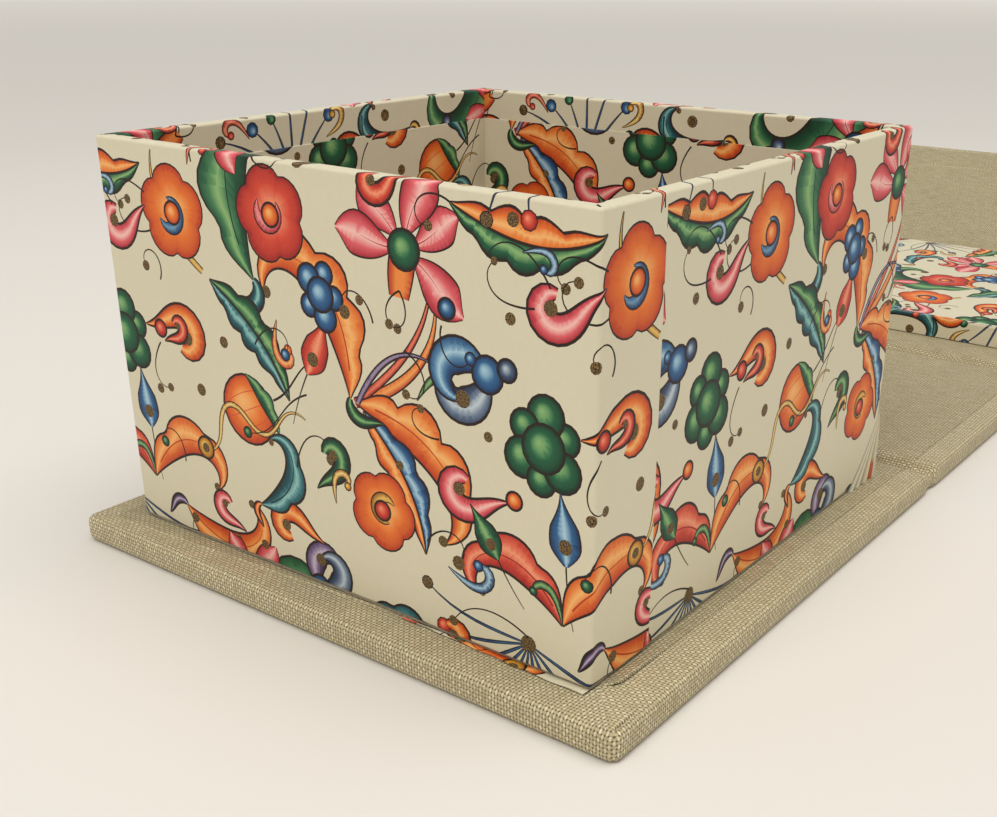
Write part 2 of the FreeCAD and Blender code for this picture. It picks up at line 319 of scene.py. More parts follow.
def swell(steps, start, most, end, at=0.5):  # half widths along a stroke
    t = np.linspace(0, 1, steps)
    rise = np.sin(np.clip(t / at, 0, 1) * math.pi / 2)
    fall = np.sin(np.clip((1 - t) / (1 - at), 0, 1) * math.pi / 2)
    return np.where(t < at, start + (most - start) * rise, end + (most - end) * fall)


def scallop(steps, lobes, depth):  # a stroke's edge in lobes, as shares of its half width
    return 1 - depth * (1 - np.abs(np.sin(math.pi * lobes * np.linspace(0, 1, steps))) ** 0.7)


def tones(family, across=4, lit=0.5):  # colours from edge to edge, lightest at the share lit
    rim, body, light = (np.array(tone) for tone in inks[family])
    far = np.abs(np.linspace(0, 1, across) - lit) / max(lit, 1 - lit)
    return np.array([light + (body - light) * min(f * 2, 1) + (rim - body) * max(f * 2 - 1, 0) for f in far])


def ribbon(ink, line, left, right, colours, contour=0.46, gold=0.0):  # a filled stroke with a dark contour
    points, normals = line
    t = np.linspace(0, 1, len(points))
    half = contour / 2 * (0.55 + 0.45 * np.sin(math.pi * t) ** 0.6)
    inset = np.minimum(half, (left + right) * 0.4)

    def edge(offset):
        return points + normals * offset[:, None]
    inner = edge(left - inset), edge(inset - right)
    shares = np.linspace(0, 1, len(colours))[None, :, None]
    ink.grid(inner[0][:, None] * (1 - shares) + inner[1][:, None] * shares, colours[None], gold)
    if contour:
        ink.grid(np.stack([edge(left + half), inner[0]], 1), lineInk)
        ink.grid(np.stack([inner[1], edge(-right - half)], 1), lineInk)
    ink.over()


def thread(ink, line, width=0.32, colour=lineInk, taper=0.5):
    points, normals = line
    half = (width / 2 * (1 - taper * np.linspace(0, 1, len(points))))[:, None]
    ink.grid(np.stack([points + normals * half, points - normals * half], 1), colour)
    ink.over()


def disc(ink, x, y, radius, family, lit=(-0.25, 0.25), contour=0.4, lobes=0, depth=0.0, sides=16, turn=0.0):
    rim, body, light = (np.array(tone) for tone in inks[family])
    angle = np.linspace(0, 2 * math.pi, sides * (2 if lobes else 1) + 1)
    reach = radius * (scallop(len(angle), lobes, depth) if lobes else 1.0)
    turned = angle + math.radians(turn)
    edge = np.stack([np.cos(turned) * reach, np.sin(turned) * reach], 1)
    edge[-1] = edge[0]
    glow = np.array(lit) * radius
    shares, tone = np.array([0.0, 0.6, 1.0]), [light, body, rim]
    if radius > 1.5:  # a large disc is shaded in more rings
        shares = np.array([0.0, 0.3, 0.6, 0.85, 1.0])
        tone = [light, light * 0.7 + body * 0.3, body, body * 0.6 + rim * 0.4, rim]
    rings = np.array([x, y]) + glow * (1 - shares)[:, None, None] + edge[None] * shares[:, None, None]
    ink.grid(rings, np.array(tone)[:, None], float(family == "gold"))
    if contour:
        ink.grid(np.stack([rings[-1], rings[-1] + edge * contour / radius]), lineInk)
    ink.over()


def dot(ink, x, y, radius):
    disc(ink, x, y, radius, "gold", contour=0.0, sides=11)


def tendril(ink, x, y, heading, arcs, tip=0.55, family="gold", width=0.34):
    line = curve(x, y, heading, arcs)
    thread(ink, line, width)
    if tip:
        disc(ink, *line[0][-1], tip, family, contour=0.0 if family == "gold" else 0.2, sides=10)


def comma(ink, x, y, heading, size, turn, family, eye=True, fat=0.24):  # curled bud with a pointed tail
    steps = 21
    arcs = [(size * 0.35, turn * 0.6), (size * 0.35, turn * 0.45), (size * 0.5, -turn * 0.15)]
    line = curve(x, y, heading, arcs, steps)
    half = swell(steps, 0.2 * size * fat, size * fat * 0.62, 0.03, 0.3)
    ribbon(ink, line, half, half, tones(family, 5, 0.5))
    if eye:
        dot(ink, *(line[0][4] + line[1][4] * math.copysign(0.48, turn) * size * fat), size * 0.075)


def plume(ink, x, y, heading, size, turn, family, root="blue", lobes=4, fat=0.17):
    # Scrolling leaf: scalloped back, lit middle, curled tip round a bead
    steps, side = 33, 1 if turn < 0 else -1
    arcs = [(size * 0.5, turn * 0.22), (size * 0.4, turn * 0.45), (size * 0.28, turn * 0.75)]
    line = curve(x, y, heading, arcs, steps)
    half = swell(steps, 0.15, size * fat, 0.12, 0.42)
    outer, inner = half * 1.25 * scallop(steps, lobes, 0.42), half * 0.55
    left, right = (outer, inner) if side > 0 else (inner, outer)
    ribbon(ink, line, left, right, tones(family, 6, 0.4 if side > 0 else 0.6))
    points, normals = line
    vein = points[4:-6] + normals[4:-6] * side * half[4:-6, None] * 0.15
    thread(ink, (vein, normals[4:-6]), 0.3, inks[family][0], 0.6)
    dot(ink, *(points[-1] - normals[-1] * side * 0.5), max(0.5, size * 0.035))
    if root:
        comma(ink, x, y, heading + 180 - turn * 0.15, size * 0.26, turn * 0.9, root, eye=False)


def twinLeaf(ink, x, y, heading, size, bend, upper, lower, lobes=4):  # two halves in inks of their own
    steps = 28
    arcs = [(size * 0.35, bend * 0.2), (size * 0.4, bend * 0.6), (size * 0.3, bend * 0.5)]
    line = curve(x, y, heading, arcs, steps)
    half, none = swell(steps, 0.12, size * 0.17, 0.05, 0.45), np.zeros(steps)
    ribbon(ink, line, half * scallop(steps, lobes, 0.4), none, tones(upper, 4, 0.667))
    ribbon(ink, line, none, half * 0.95 * scallop(steps, lobes + 1, 0.35), tones(lower, 4, 0.333))


def petal(ink, x, y, heading, size, family, bend=20):
    line = curve(x, y, heading, [(size * 0.6, bend), (size * 0.4, -bend)], 14)
    half = swell(14, size * 0.06, size * 0.3, size * 0.02, 0.62)
    ribbon(ink, line, half, half, tones(family, 5, 0.5), 0.3)
    thread(ink, (line[0][:-6], line[1][:-6]), 0.2, inks[family][0], 0.8)


def blossom(ink, x, y, heading, size, family="pink", heart="green", count=5, spread=210):
    # Flower seen from the side, on a short neck with two whiskers
    for k in range(count):
        angle = heading + spread * (k / (count - 1) - 0.5)
        reach = np.array([math.cos(math.radians(angle)), math.sin(math.radians(angle))]) * size * 0.12
        long, bend = (0.46, 24) if k % 2 else (0.54, -24)
        petal(ink, x + reach[0], y + reach[1], angle, size * long, family, bend)
    neck = curve(x, y, heading + 180, [(size * 0.35, 10)], 8)
    half = swell(8, size * 0.13, size * 0.12, size * 0.09, 0.3)
    ribbon(ink, neck, half, half, tones("orange", 4), 0.28)
    disc(ink, x, y, size * 0.135, heart)
    foot = neck[0][-2]
    for bend in (-1, 1):
        arcs = [(size * 0.2, -40 * bend), (size * 0.2, -120 * bend)]
        tendril(ink, *foot, heading + 180 + 50 * bend, arcs, size * 0.04)


def spray(ink, x, y, heading, size, count, spread):  # fine stalks from one eye, each with a bead
    families = ("gold", "red", "green", "blue")
    for k in range(count):
        share = k / (count - 1) - 0.5
        length = size * (0.62 + 0.38 * math.cos(k * 2.4) ** 2)
        arcs = [(length * 0.5, share * 10), (length * 0.5, share * 60)]
        line = curve(x, y, heading + spread * share, arcs, 9)
        half = swell(9, 0.1, 0.22, 0.05, 0.35)
        ribbon(ink, line, half, half, tones("blue", 2, 0.3), 0.16)
        bead = size * 0.05 + 0.25 * (k % 2)
        disc(ink, *line[0][-1], bead, families[k % len(families)], contour=0.18, sides=9)
    dot(ink, x, y, size * 0.07)


def rosette(ink, x, y, size, family, crescent, heart, turn):  # lobed bloom with a crescent and a bead
    disc(ink, x, y, size * 0.5, family, (0.1, 0.1), 0.3, 5, 0.16, 20, turn)
    start = np.array([math.cos(math.radians(turn)), math.sin(math.radians(turn))]) * size * 0.22
    line = curve(x + start[0], y + start[1], turn + 95, [(size * 0.7, 250)], 17)
    half = swell(17, 0.1, size * 0.085, 0.05)
    ribbon(ink, line, half, half, tones(crescent, 3, 0.35), 0.24)
    disc(ink, x, y, size * 0.11, heart)


def cloud(ink, x, y, heading, size, family="green", count=6):  # a bunch of lit lobes
    for k in range(count):
        angle = math.radians(heading + 360 * k / count)
        place = (x + math.cos(angle) * size * 0.3, y + math.sin(angle) * size * 0.36)
        disc(ink, *place, (0.17 + 0.05 * (k % 2)) * size, family)
    disc(ink, x, y, size * 0.26, family)


def drop(ink, x, y, heading, size, family="blue"):  # pointed bud on a stalk
    tendril(ink, x, y, heading + 180, [(size * 0.9, 12)], tip=0, width=0.3)
    line = curve(x, y, heading, [(size, 8)], 16)
    half = swell(16, size * 0.03, size * 0.24, size * 0.03, 0.3)
    half = half * np.interp(np.linspace(0, 1, 16), (0.55, 1), (1, 0.1))
    ribbon(ink, line, half, half, tones(family, 5, 0.5), 0.3)
    dot(ink, *line[0][4], size * 0.11)


def fruit(ink, x, y, heading, size):  # round fruit in a leafy cap
    a = math.radians(heading)
    disc(ink, x, y, size * 0.34, "orange", sides=22)
    for k in (-1, 0, 1):
        start = (x - math.cos(a) * size * 0.3 - math.sin(a) * k * size * 0.13,
                 y - math.sin(a) * size * 0.3 + math.cos(a) * k * size * 0.13)
        thread(ink, curve(*start, heading + k * 18, [(size * 0.56, -k * 36)], 8), 0.16, inks["red"][1], 0.2)
    cap = curve(x + math.cos(a + 1.15) * size * 0.36, y + math.sin(a + 1.15) * size * 0.36, heading - 65,
                [(size * 0.68, -24)], 21)
    half = swell(21, 0.1, size * 0.13, 0.08)
    ribbon(ink, cap, half * scallop(21, 3, 0.35), half * 0.4, tones("green", 4, 0.333), 0.28)
    tendril(ink, x + math.cos(a) * size * 0.4, y + math.sin(a) * size * 0.4, heading,
            [(size * 0.5, 40), (size * 0.4, -60)], tip=0, width=0.42)


def wings(ink, x, y, heading, size, family="slate", second="violet"):  # two curled wings on a bead
    for side, tint in ((1, family), (-1, second)):
        arcs = [(size * 0.3, -35 * side), (size * 0.35, -120 * side), (size * 0.25, -80 * side)]
        line, half = curve(x, y, heading + 60 * side, arcs, 21), swell(21, 0.3, size * 0.15, 0.08, 0.4)
        ribbon(ink, line, half, half, tones(tint, 6, 0.4 if side > 0 else 0.6))
        dot(ink, *line[0][-1], size * 0.075)
    back = math.radians(heading + 180)
    disc(ink, x, y, size * 0.14, "blue")
    disc(ink, x + math.cos(back) * size * 0.2, y + math.sin(back) * size * 0.2, size * 0.08, "slate")


def hook(ink, x, y, heading, size, turn, family):  # small curl with a bead inside
    arcs = [(size * 0.5, turn * 0.1), (size * 0.3, turn * 0.5), (size * 0.25, turn * 0.7)]
    line = curve(x, y, heading, arcs, 18)
    half = swell(18, 0.06, size * 0.075, 0.16, 0.75)
    ribbon(ink, line, half, half, tones(family, 3), 0.2)
    disc(ink, *line[0][-1], size * 0.07, family, contour=0.18, sides=9)


def strap(ink, x, y, heading, arcs, family, width):  # long tapering band
    line, half = curve(x, y, heading, arcs, 26), swell(26, width * 0.9, width, width * 0.15, 0.2)
    ribbon(ink, line, half, half, tones(family, 3, 0.4), 0.24)


def drawPrint():  # one repeat of the design, every motif placed one by one
    ink = Ink()
    # a fan of straps and leaves from one root
    strap(ink, 3.5, 26, 20, [(14, 20), (12, 50)], "orange", 0.9)
    strap(ink, 3.5, 26, 36, [(14, 10), (14, 40)], "red", 0.6)
    plume(ink, 3.5, 26, -5, 27, -95, "orange", root=None)
    twinLeaf(ink, 5, 25, -42, 23, -35, "blue", "orange")
    plume(ink, 2.5, 26.5, 88, 29, 130, "orange", root="green", lobes=5)
    strap(ink, 4, 26, 62, [(10, -20), (10, -70)], "violet", 0.5)
    rosette(ink, 8, 9.5, 13, "orange", "straw", "red", turn=30)
    hook(ink, 16, 29, 60, 11, -170, "green")
    # blossom and its company
    blossom(ink, 14.5, 50.5, 75, 20, "pink", "green")
    wings(ink, 29, 35.5, 200, 18, "slate", "blue")
    cloud(ink, 38.5, 27, 25, 13, "green")
    comma(ink, 25, 19, 150, 15, 230, "pink")
    tendril(ink, 20, 24, 190, [(5, -40), (4, -150)], tip=0.7)
    twinLeaf(ink, 23, 58, -25, 25, 42, "orange", "green")
    tendril(ink, 23, 58, 150, [(6, 60), (5, 160)], tip=0.8)
    tendril(ink, 21, 41, 250, [(5, 60), (5, 120)], tip=0.9, family="blue")
    # spray of beads
    spray(ink, 36, 75, -100, 20, count=10, spread=160)
    plume(ink, 50, 76.5, -35, 23, 120, "orange", root="violet", lobes=3)
    comma(ink, 20.5, 73, 30, 13, -230, "orange")
    hook(ink, 27, 67.5, 200, 10, 190, "straw")
    tendril(ink, 36, 76, 150, [(8, 30), (8, 60)], tip=0.9)
    # big green scroll with a bloom in its mouth
    plume(ink, 73, 41.5, 118, 38, -165, "green", root="teal", lobes=5, fat=0.17)
    rosette(ink, 78, 52, 14.5, "red", "pink", "orange", turn=140)
    twinLeaf(ink, 62.5, 40, -30, 23, -30, "green", "teal")
    strap(ink, 61, 41, 150, [(11, -25), (11, -50)], "straw", 0.6)
    rosette(ink, 55, 49.5, 15, "orange", "blue", "orange", turn=200)
    tendril(ink, 48.5, 52, 150, [(7, 30), (5, 150)], tip=0.8)
    tendril(ink, 49, 46, 200, [(8, -50), (5, -150)], tip=0.8)
    comma(ink, 40.5, 48.5, 165, 15, 235, "pink")
    tendril(ink, 39.5, 49, 120, [(7, 30), (6, 90)], tip=0)
    tendril(ink, 37, 46, 190, [(7, -30), (5, -120)], tip=0.6)
    tendril(ink, 61, 58, 100, [(8, -40), (8, 40)], tip=0.8)
    # below: two straps and a bud from one foot
    drop(ink, 42.5, 10.5, 92, 11, "blue")
    plume(ink, 42, 1, 60, 23, -130, "orange", root=None, lobes=3)
    plume(ink, 42, 1, 122, 21, 140, "red", root=None, lobes=3)
    hook(ink, 42, 1, 100, 9, 120, "green")
    comma(ink, 53.5, 27, 330, 17, 225, "orange")
    comma(ink, 52, 31, 60, 8, -220, "red")
    disc(ink, 48.5, 29.5, 1.3, "red")
    tendril(ink, 48, 27, 230, [(6, 30), (5, 120)], tip=0.8)
    fruit(ink, 69, 19.5, 25, 17)
    wave = curve(57.5, 9.5, 15, [(9, 100), (8, -190), (9, 190), (8, -120)], 40)
    half = swell(40, 0.2, 0.5, 0.1, 0.4)
    ribbon(ink, wave, half, half, tones("straw", 3), 0.16)
    disc(ink, 57, 10, 1.8, "straw")
    dot(ink, 57, 10, 0.9)
    drop(ink, 83.5, 28.5, 60, 11, "red")
    tendril(ink, 83, 25, 200, [(9, 40), (9, -60)], tip=0.9, family="green")
    # right edge and top
    blossom(ink, 66, 66.5, 30, 16, "pink", "blue", count=4, spread=170)
    wings(ink, 83, 70.5, 60, 15, "violet", "slate")
    comma(ink, 77, 78, 200, 14, -225, "orange")
    hook(ink, 60, 57.5, 80, 10, -190, "red")
    plume(ink, 70, 3, 20, 17, 130, "teal", root="orange", lobes=3)
    tendril(ink, 79.5, 12, 80, [(8, -40), (6, -140)], tip=1.0)
    tendril(ink, 50, 38, 60, [(5, 80), (5, 170)], tip=0.9)
    cloud(ink, 87.5, 41.5, 70, 9.5, "blue", count=5)
    comma(ink, 86, 16, 80, 12, -220, "green")
    tendril(ink, 17, 7, 60, [(6, -60), (6, -150)], tip=1.2)
    hook(ink, 21, 4, 330, 12, 170, "blue")
    drop(ink, 30.5, 8, 120, 9, "green")
    disc(ink, 33.5, 18, 1.2, "orange")
    tendril(ink, 8, 39, 100, [(6, 60), (5, 150)], tip=1.1)
    disc(ink, 22, 43.5, 1.3, "blue")
    # beads and curls in what is left
    beads = [(33.5, 57, 1.0), (46, 61.5, 0.9), (64.5, 30, 1.0), (57.5, 20.5, 1.1), (10.5, 65, 1.2),
             (46.5, 18.5, 0.9), (29, 26.5, 0.8), (70, 74.5, 0.9), (12, 18, 0.8), (85, 61, 1.0),
             (5.5, 42, 0.8), (33, 44, 0.9)]
    for x, y, radius in beads:
        dot(ink, x, y, radius)
    plume(ink, 3, 68, 30, 17, -140, "teal", root="straw", lobes=3)
    comma(ink, 9, 61, 190, 11, 220, "red")
    tendril(ink, 17, 64.5, 80, [(6, 40), (5, 130)], tip=0.9, family="red")
    hook(ink, 77.5, 36, 250, 11, 190, "orange")
    tendril(ink, 72, 31, 60, [(7, -50), (5, -140)], tip=0.9, family="blue")
    hook(ink, 46, 66, 300, 9, 180, "red")
    tendril(ink, 58, 70, 200, [(6, -40), (5, -120)], tip=1.0)
    tendril(ink, 74, 61, 300, [(5, 60), (5, 140)], tip=0.9)
    hook(ink, 35, 53, 20, 8, -180, "blue")
    comma(ink, 62, 1, 120, 10, 220, "pink")
    tendril(ink, 51, 6, 80, [(6, 60), (5, 150)], tip=0.9, family="green")
    tendril(ink, 14, 36, 340, [(6, -60), (5, -130)], tip=0.8)
    hook(ink, 88, 8, 100, 9, -170, "straw")
    return ink


def flatPrint(ink):  # the strokes as one layer of faces, without overlaps
    cells = np.concatenate(ink.cells)
    wide, high = repeat
    shifts = [(i * wide, j * high) for i in (-1, 0, 1) for j in (-1, 0, 1)]
    copies = np.concatenate([cells + np.array([*shift, 0, 0, 0, 0, 0]) for shift in shifts])
    low, top = copies[..., :2].min(1), copies[..., :2].max(1)
    copies = copies[(low < (wide, high)).all(1) & (top > 0).all(1)]
    step = 0.004  # corners nearer than this are one
    keys = np.round(copies[..., :2].reshape(-1, 2) / step).astype(int)
    spots, index = np.unique(keys, axis=0, return_inverse=True)
    spots = np.concatenate([spots * step, [[0, 0], [wide, 0], [wide, high], [0, high]]])
    loops, source = [[len(spots) - 4 + k for k in range(4)]], [-1]
    quads = index.reshape(-1, 4)
    x, y = spots[quads, 0], spots[quads, 1]

    def area(a, b, c):
        return (x[:, b] - x[:, a]) * (y[:, c] - y[:, a]) - (x[:, c] - x[:, a]) * (y[:, b] - y[:, a])
    first, second = area(0, 1, 2), area(0, 2, 3)
    for k, quad in enumerate(quads.tolist()):
        halves = [(quad[:3], first[k]), ([quad[0], quad[2], quad[3]], second[k])]
        if first[k] * second[k] > 0 and len(set(quad)) == 4:
            halves = [(quad, first[k])]
        for loop, turned in halves:
            if abs(turned) > 1e-4 and len(set(loop)) == len(loop):
                loops.append(loop if turned > 0 else loop[::-1])
                source.append(k)
    corners = [Vector(p) for p in spots.tolist()]
    places, _, faces, _, _, owners = delaunay_2d_cdt(corners, [], loops, 1, 1e-4, True)
    places = np.array([tuple(p) for p in places])
    source, layers = np.array(source), copies[:, 0, 2]
    level = np.array([-1.0 if s < 0 else layers[s] for s in source])

    def topmost(own):
        return source[max(own, key=lambda i: level[i])]
    kept = [(f, topmost(own)) for f, own in zip(faces, owners) if own and len(f) == 3]
    soup = np.zeros((len(kept), 3, 6))
    soup[..., :2] = places[np.array([f for f, own in kept])]
    owner = np.array([own for f, own in kept])
    middle = soup[..., :2].mean(1)
    inside = ((middle > 0) & (middle < (wide, high))).all(1)
    soup, owner = soup[inside], owner[inside]
    soup[..., 2:5] = cream
    inked = owner >= 0
    soup[inked, :, 2:] = toned(soup[inked, :, :2], copies[owner[inked]])
    return soup


def toned(points, cells):  # each point's colour between the corners of its cell
    def shares(a, b, c, p):
        whole = cross(b - a, c - a)
        whole = np.where(np.abs(whole) < 1e-9, 1e-9, whole)
        parts = [cross(b - p, c - p), cross(c - p, a - p), cross(a - p, b - p)]
        return np.stack(parts, -1) / whole[..., None]

    def cross(a, b):
        return a[..., 0] * b[..., 1] - a[..., 1] * b[..., 0]
    corner = cells[:, None, :, :2]
    middle = points.mean(1, keepdims=True)
    halves = ((1, 2), (2, 3))
    fits = [shares(corner[:, :, 0], corner[:, :, j], corner[:, :, k], middle).min(-1) for j, k in halves]
    out = np.empty((*points.shape[:2], 4))
    for better, (j, k) in zip((fits[0] >= fits[1], fits[0] < fits[1]), halves):
        chosen = better[:, 0]
        around = [corner[chosen, :, i] for i in (0, j, k)]
        share = shares(*around, points[chosen]).clip(0, 1)
        share /= share.sum(-1, keepdims=True)
        three = cells[chosen][:, [0, j, k], 3:]
        out[chosen] = np.einsum("npk,nkc->npc", share, three)
    return out


def parted(soup, normal, at):  # triangles on either side of a line, the crossing ones cut
    side = soup[..., :2] @ np.array(normal, float) - at
    low, high = (side <= 1e-6).all(1), (side >= -1e-6).all(1)
    crossing = ~(low | high)
    three, side = soup[crossing], side[crossing]
    positive = side > 0
    lone = np.where(positive.sum(1) == 1, positive.argmax(1), (~positive).argmax(1))
    order = (lone[:, None] + np.arange(3)) % 3
    three, side = np.take_along_axis(three, order[..., None], 1), np.take_along_axis(side, order, 1)
    a, b, c = three[:, 0], three[:, 1], three[:, 2]
    ab = a + (b - a) * (side[:, 0] / (side[:, 0] - side[:, 1]))[:, None]
    ac = a + (c - a) * (side[:, 0] / (side[:, 0] - side[:, 2]))[:, None]
    tip, rest, last = np.stack([a, ab, ac], 1), np.stack([ab, b, c], 1), np.stack([ab, c, ac], 1)
    down = side[:, 0] < 0
    below = np.concatenate([soup[low], tip[down], rest[~down], last[~down]])
    above = np.concatenate([soup[high & ~low], tip[~down], rest[down], last[down]])
    return below, above


def printed(tile, low, high, shift):  # the print over a rectangle of the flat sheet
    wide, tall = repeat
    found = []
    for i in range(math.floor((low[0] - shift[0]) / wide), math.ceil((high[0] - shift[0]) / wide)):
        for j in range(math.floor((low[1] - shift[1]) / tall), math.ceil((high[1] - shift[1]) / tall)):
            part = tile + np.array([i * wide + shift[0], j * tall + shift[1], 0, 0, 0, 0])
            for normal, at in (((1, 0), high[0]), ((0, 1), high[1])):
                part = parted(part, normal, at)[0]
            for normal, at in (((1, 0), low[0]), ((0, 1), low[1])):
                part = parted(part, normal, at)[1]
            found.append(part)
    return np.concatenate(found)


def folded(name, tile, shift, along, profile, place, body, node, material):
    # along: places of the cuts across the side; profile: rows of (v, widest s); place: flat points to space
    soup = printed(tile, (along[0], profile[0][0]), (along[-1], profile[-1][0]), shift)
    for at in along[1:-1]:
        soup = np.concatenate(parted(soup, (1, 0), at))
    bands = []
    for (v0, most0), (v1, most1) in zip(profile, profile[1:]):
        band, soup = parted(soup, (0, 1), v1)
        slope = (most1 - most0) / (v1 - v0)
        for sign in (1, -1):  # s within the mitre: sign * s <= most0 + slope * (v - v0)
            band = parted(band, (sign, -slope), most0 - slope * v0)[0]
        bands.append(band)
    return sheetMesh(name, np.concatenate(bands), place, body, node, material)


def sheetMesh(name, soup, place, body, node, material):  # printed triangles, set in space by place
    keys = np.round(soup[..., :2].reshape(-1, 2) / merge).astype(int)
    spots, index = np.unique(keys, axis=0, return_inverse=True)
    index = index.reshape(-1, 3)
    whole = (index[:, 0] != index[:, 1]) & (index[:, 1] != index[:, 2]) & (index[:, 2] != index[:, 0])
    index, soup = index[whole], soup[whole]
    used = np.unique(index)
    renumber = np.zeros(len(spots), int)
    renumber[used] = np.arange(len(used))
    index = renumber[index]
    vertices = spots[used] * merge
    points, normals = place(vertices)
    p = points[index]
    facing = (np.cross(p[:, 1] - p[:, 0], p[:, 2] - p[:, 0]) * normals[index].mean(1)).sum(1)
    index[facing < 0] = index[facing < 0][:, ::-1]
    soup[facing < 0] = soup[facing < 0][:, ::-1]
    mesh = bpy.data.meshes.new(name)
    mesh.from_pydata((points * mm).tolist(), [], index.tolist())
    colour = mesh.color_attributes.new("print", "FLOAT_COLOR", "CORNER")
    shade = np.ones((len(index) * 3, 4))
    shade[:, :3] = linear(soup[..., 2:5].reshape(-1, 3).clip(0, 1))
    colour.data.foreach_set("color", shade.ravel())
    mesh.attributes.new("gold", "FLOAT", "CORNER").data.foreach_set("value", soup[..., 5].ravel())
    layer = mesh.uv_layers.new(name="OFBake")
    low, high = vertices.min(0), vertices.max(0)
    scaled = (vertices - low) / (high - low).max() * 0.98 + 0.01
    layer.uv.foreach_set("vector", scaled[index].ravel().astype(np.float32))
    mesh.shade_smooth()
    mesh.normals_split_custom_set_from_vertices(normals.tolist())
    mesh.materials.append(material)
    obj = placed(name, mesh, body, node)
    return obj


def placed(name, mesh, body, *nodes):
    obj = bpy.data.objects.new(name, mesh)
    bpy.context.scene.collection.objects.link(obj)
    if body:
        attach(obj, body)
    if nodes:
        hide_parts(*nodes)
    return obj


# The tray's paper: outside, over the rim and inside, in millimetres
tray = dict(
    paper=0.2, wall=2.8, corner=0.8, rim=0.5, inside=6.6, arcSteps=4,
    seam=-35.0, lapWide=10.0, lap=0.2, lapFade=1.5, brink=0.02, seamShift=31.0,
    foot=0.4, footIn=2.2, footGap=0.6,
    flare=0.35, flareHigh=2.5, frontFlare=(5.0, 35.0), rightFlare=(42.0, 7.0),
    shift=(3.0, 8.0), liningShift=(40.0, 31.0), floorShift=(11.0, 5.0))
# Outward and rightward directions of each wall, as seen from outside
walls = dict(front=((-1, 0), (0, -1)), right=((0, -1), (1, 0)), back=((1, 0), (0, 1)), left=((0, 1), (-1, 0)))


def arcPoints(steps):  # the angles of a quarter turn
    return np.linspace(0, math.pi / 2, steps + 1)


def smooth(t):  # 0 to 1 with soft ends
    t = np.clip(t, 0, 1)
    return t * t * (3 - 2 * t)


def rimProfile(height):  # v, inward distance, height, tilt of the normal; v is the height on the wall itself
    r, wall, foot = tray["rim"], tray["wall"], tray["foot"]
    gap, v = tray["footGap"], height - r  # the paper's fold stands a little off the base
    bottom = foot - foot * math.pi / 2 + gap
    rows = [(bottom - tray["footIn"], foot + tray["footIn"], gap, -math.pi / 2)]
    for turn in arcPoints(tray["arcSteps"]):
        inward, rise = foot - foot * math.sin(turn), gap + foot - foot * math.cos(turn)
        rows.append((bottom + foot * turn, inward, rise, turn - math.pi / 2))
    for turn in arcPoints(tray["arcSteps"]):
        rows.append((v + r * turn, r - r * math.cos(turn), height - r + r * math.sin(turn), turn))
    v += r * math.pi / 2 + wall - 2 * r
    for turn in arcPoints(tray["arcSteps"]):
        inward, rise = wall - r + r * math.sin(turn), height - r + r * math.cos(turn)
        rows.append((v + r * turn, inward, rise, math.pi / 2 + turn))
    rows.append((v + r * math.pi / 2 + tray["inside"], wall, height - r - tray["inside"], math.pi))
    return np.array(rows)


def trayPaper(tile, material):
    low, high = box("tray_cover_paper")
    half, height, ground = high[0], high[2] - low[2], low[2]
    r, quarter = tray["corner"], tray["corner"] * math.pi / 4
    profile = rimProfile(height)
    v, depth = profile[:, 0], profile[:, 1]
    straight = half - np.maximum(depth, r)
    most = straight + np.where(depth < r, quarter, 0.0)
    side = 2 * (half - r) + 2 * quarter
    edges = np.column_stack([v, most])
    seam, wide, fade, brink = tray["seam"], tray["lapWide"], tray["lapFade"], tray["brink"]
    for number, (name, (out, right)) in enumerate(walls.items()):
        def place(flat, out=out, right=right, name=name):
            s = flat[:, 0]
            d, z, tilt = (np.interp(flat[:, 1], v, profile[:, k]) for k in (1, 2, 3))
            radius, straightHere = np.maximum(r - d, 0), half - np.maximum(d, r)
            over = np.clip((np.abs(s) - (half - r)) / r, 0, math.pi / 4) * (d < r)
            reach = np.minimum(np.abs(s), np.where(d < r, straightHere, half))
            a = np.sign(s) * (reach + radius * np.sin(over))
            b = half - np.maximum(d, r) + radius * np.cos(over)
            if name == "right":  # the sheet's outer end lies over its inner one
                rise = np.clip((s - seam + wide + fade) / fade, 0, 1)
                rise = rise * np.clip((seam + brink - s) / brink, 0, 1)
                b = b + tray["lap"] * rise * (d < 0.3)
                start, reach = tray["rightFlare"]
                a = a - tray["flare"] * smooth(1 - z / tray["flareHigh"]) * smooth((-s - start) / reach)
            if name == "front":  # the foot stands off a little towards the near corner
                start, reach = tray["frontFlare"]
                b = b + tray["flare"] * smooth((s - start) / reach) * smooth(1 - z / tray["flareHigh"])
            h = np.stack([np.sin(over) * np.sign(s), np.cos(over)], 1) * np.cos(tilt)[:, None]
            points = a[:, None] * np.array(right) + b[:, None] * np.array(out)
            normal = h[:, :1] * np.array(right) + h[:, 1:] * np.array(out)
            return np.column_stack([points, ground + z]), np.column_stack([normal, np.sin(tilt)])
        arc = np.linspace(half - r, half - r + quarter, 3)
        along = np.concatenate([-arc[::-1], arc])
        if name == "front":
            along = np.concatenate([along[:3], np.linspace(5, 45, 9), along[3:]])
        runs = [("", along, (tray["shift"][0] - number * side, tray["shift"][1]))]
        if name == "right":  # the print doesn't meet at the seam
            outer = np.array([seam - wide - fade, seam - wide, seam, seam + brink])
            runs = [("_end", np.concatenate([along[:3], outer]), runs[0][2]),
                    ("", np.append(seam + brink, along[3:]), (tray["seamShift"], tray["shift"][1]))]
        for ending, along, shift in runs:
            folded("tray_cover_" + name + ending, tile, shift, along, edges, place, "base",
                   "tray_cover_paper", material)


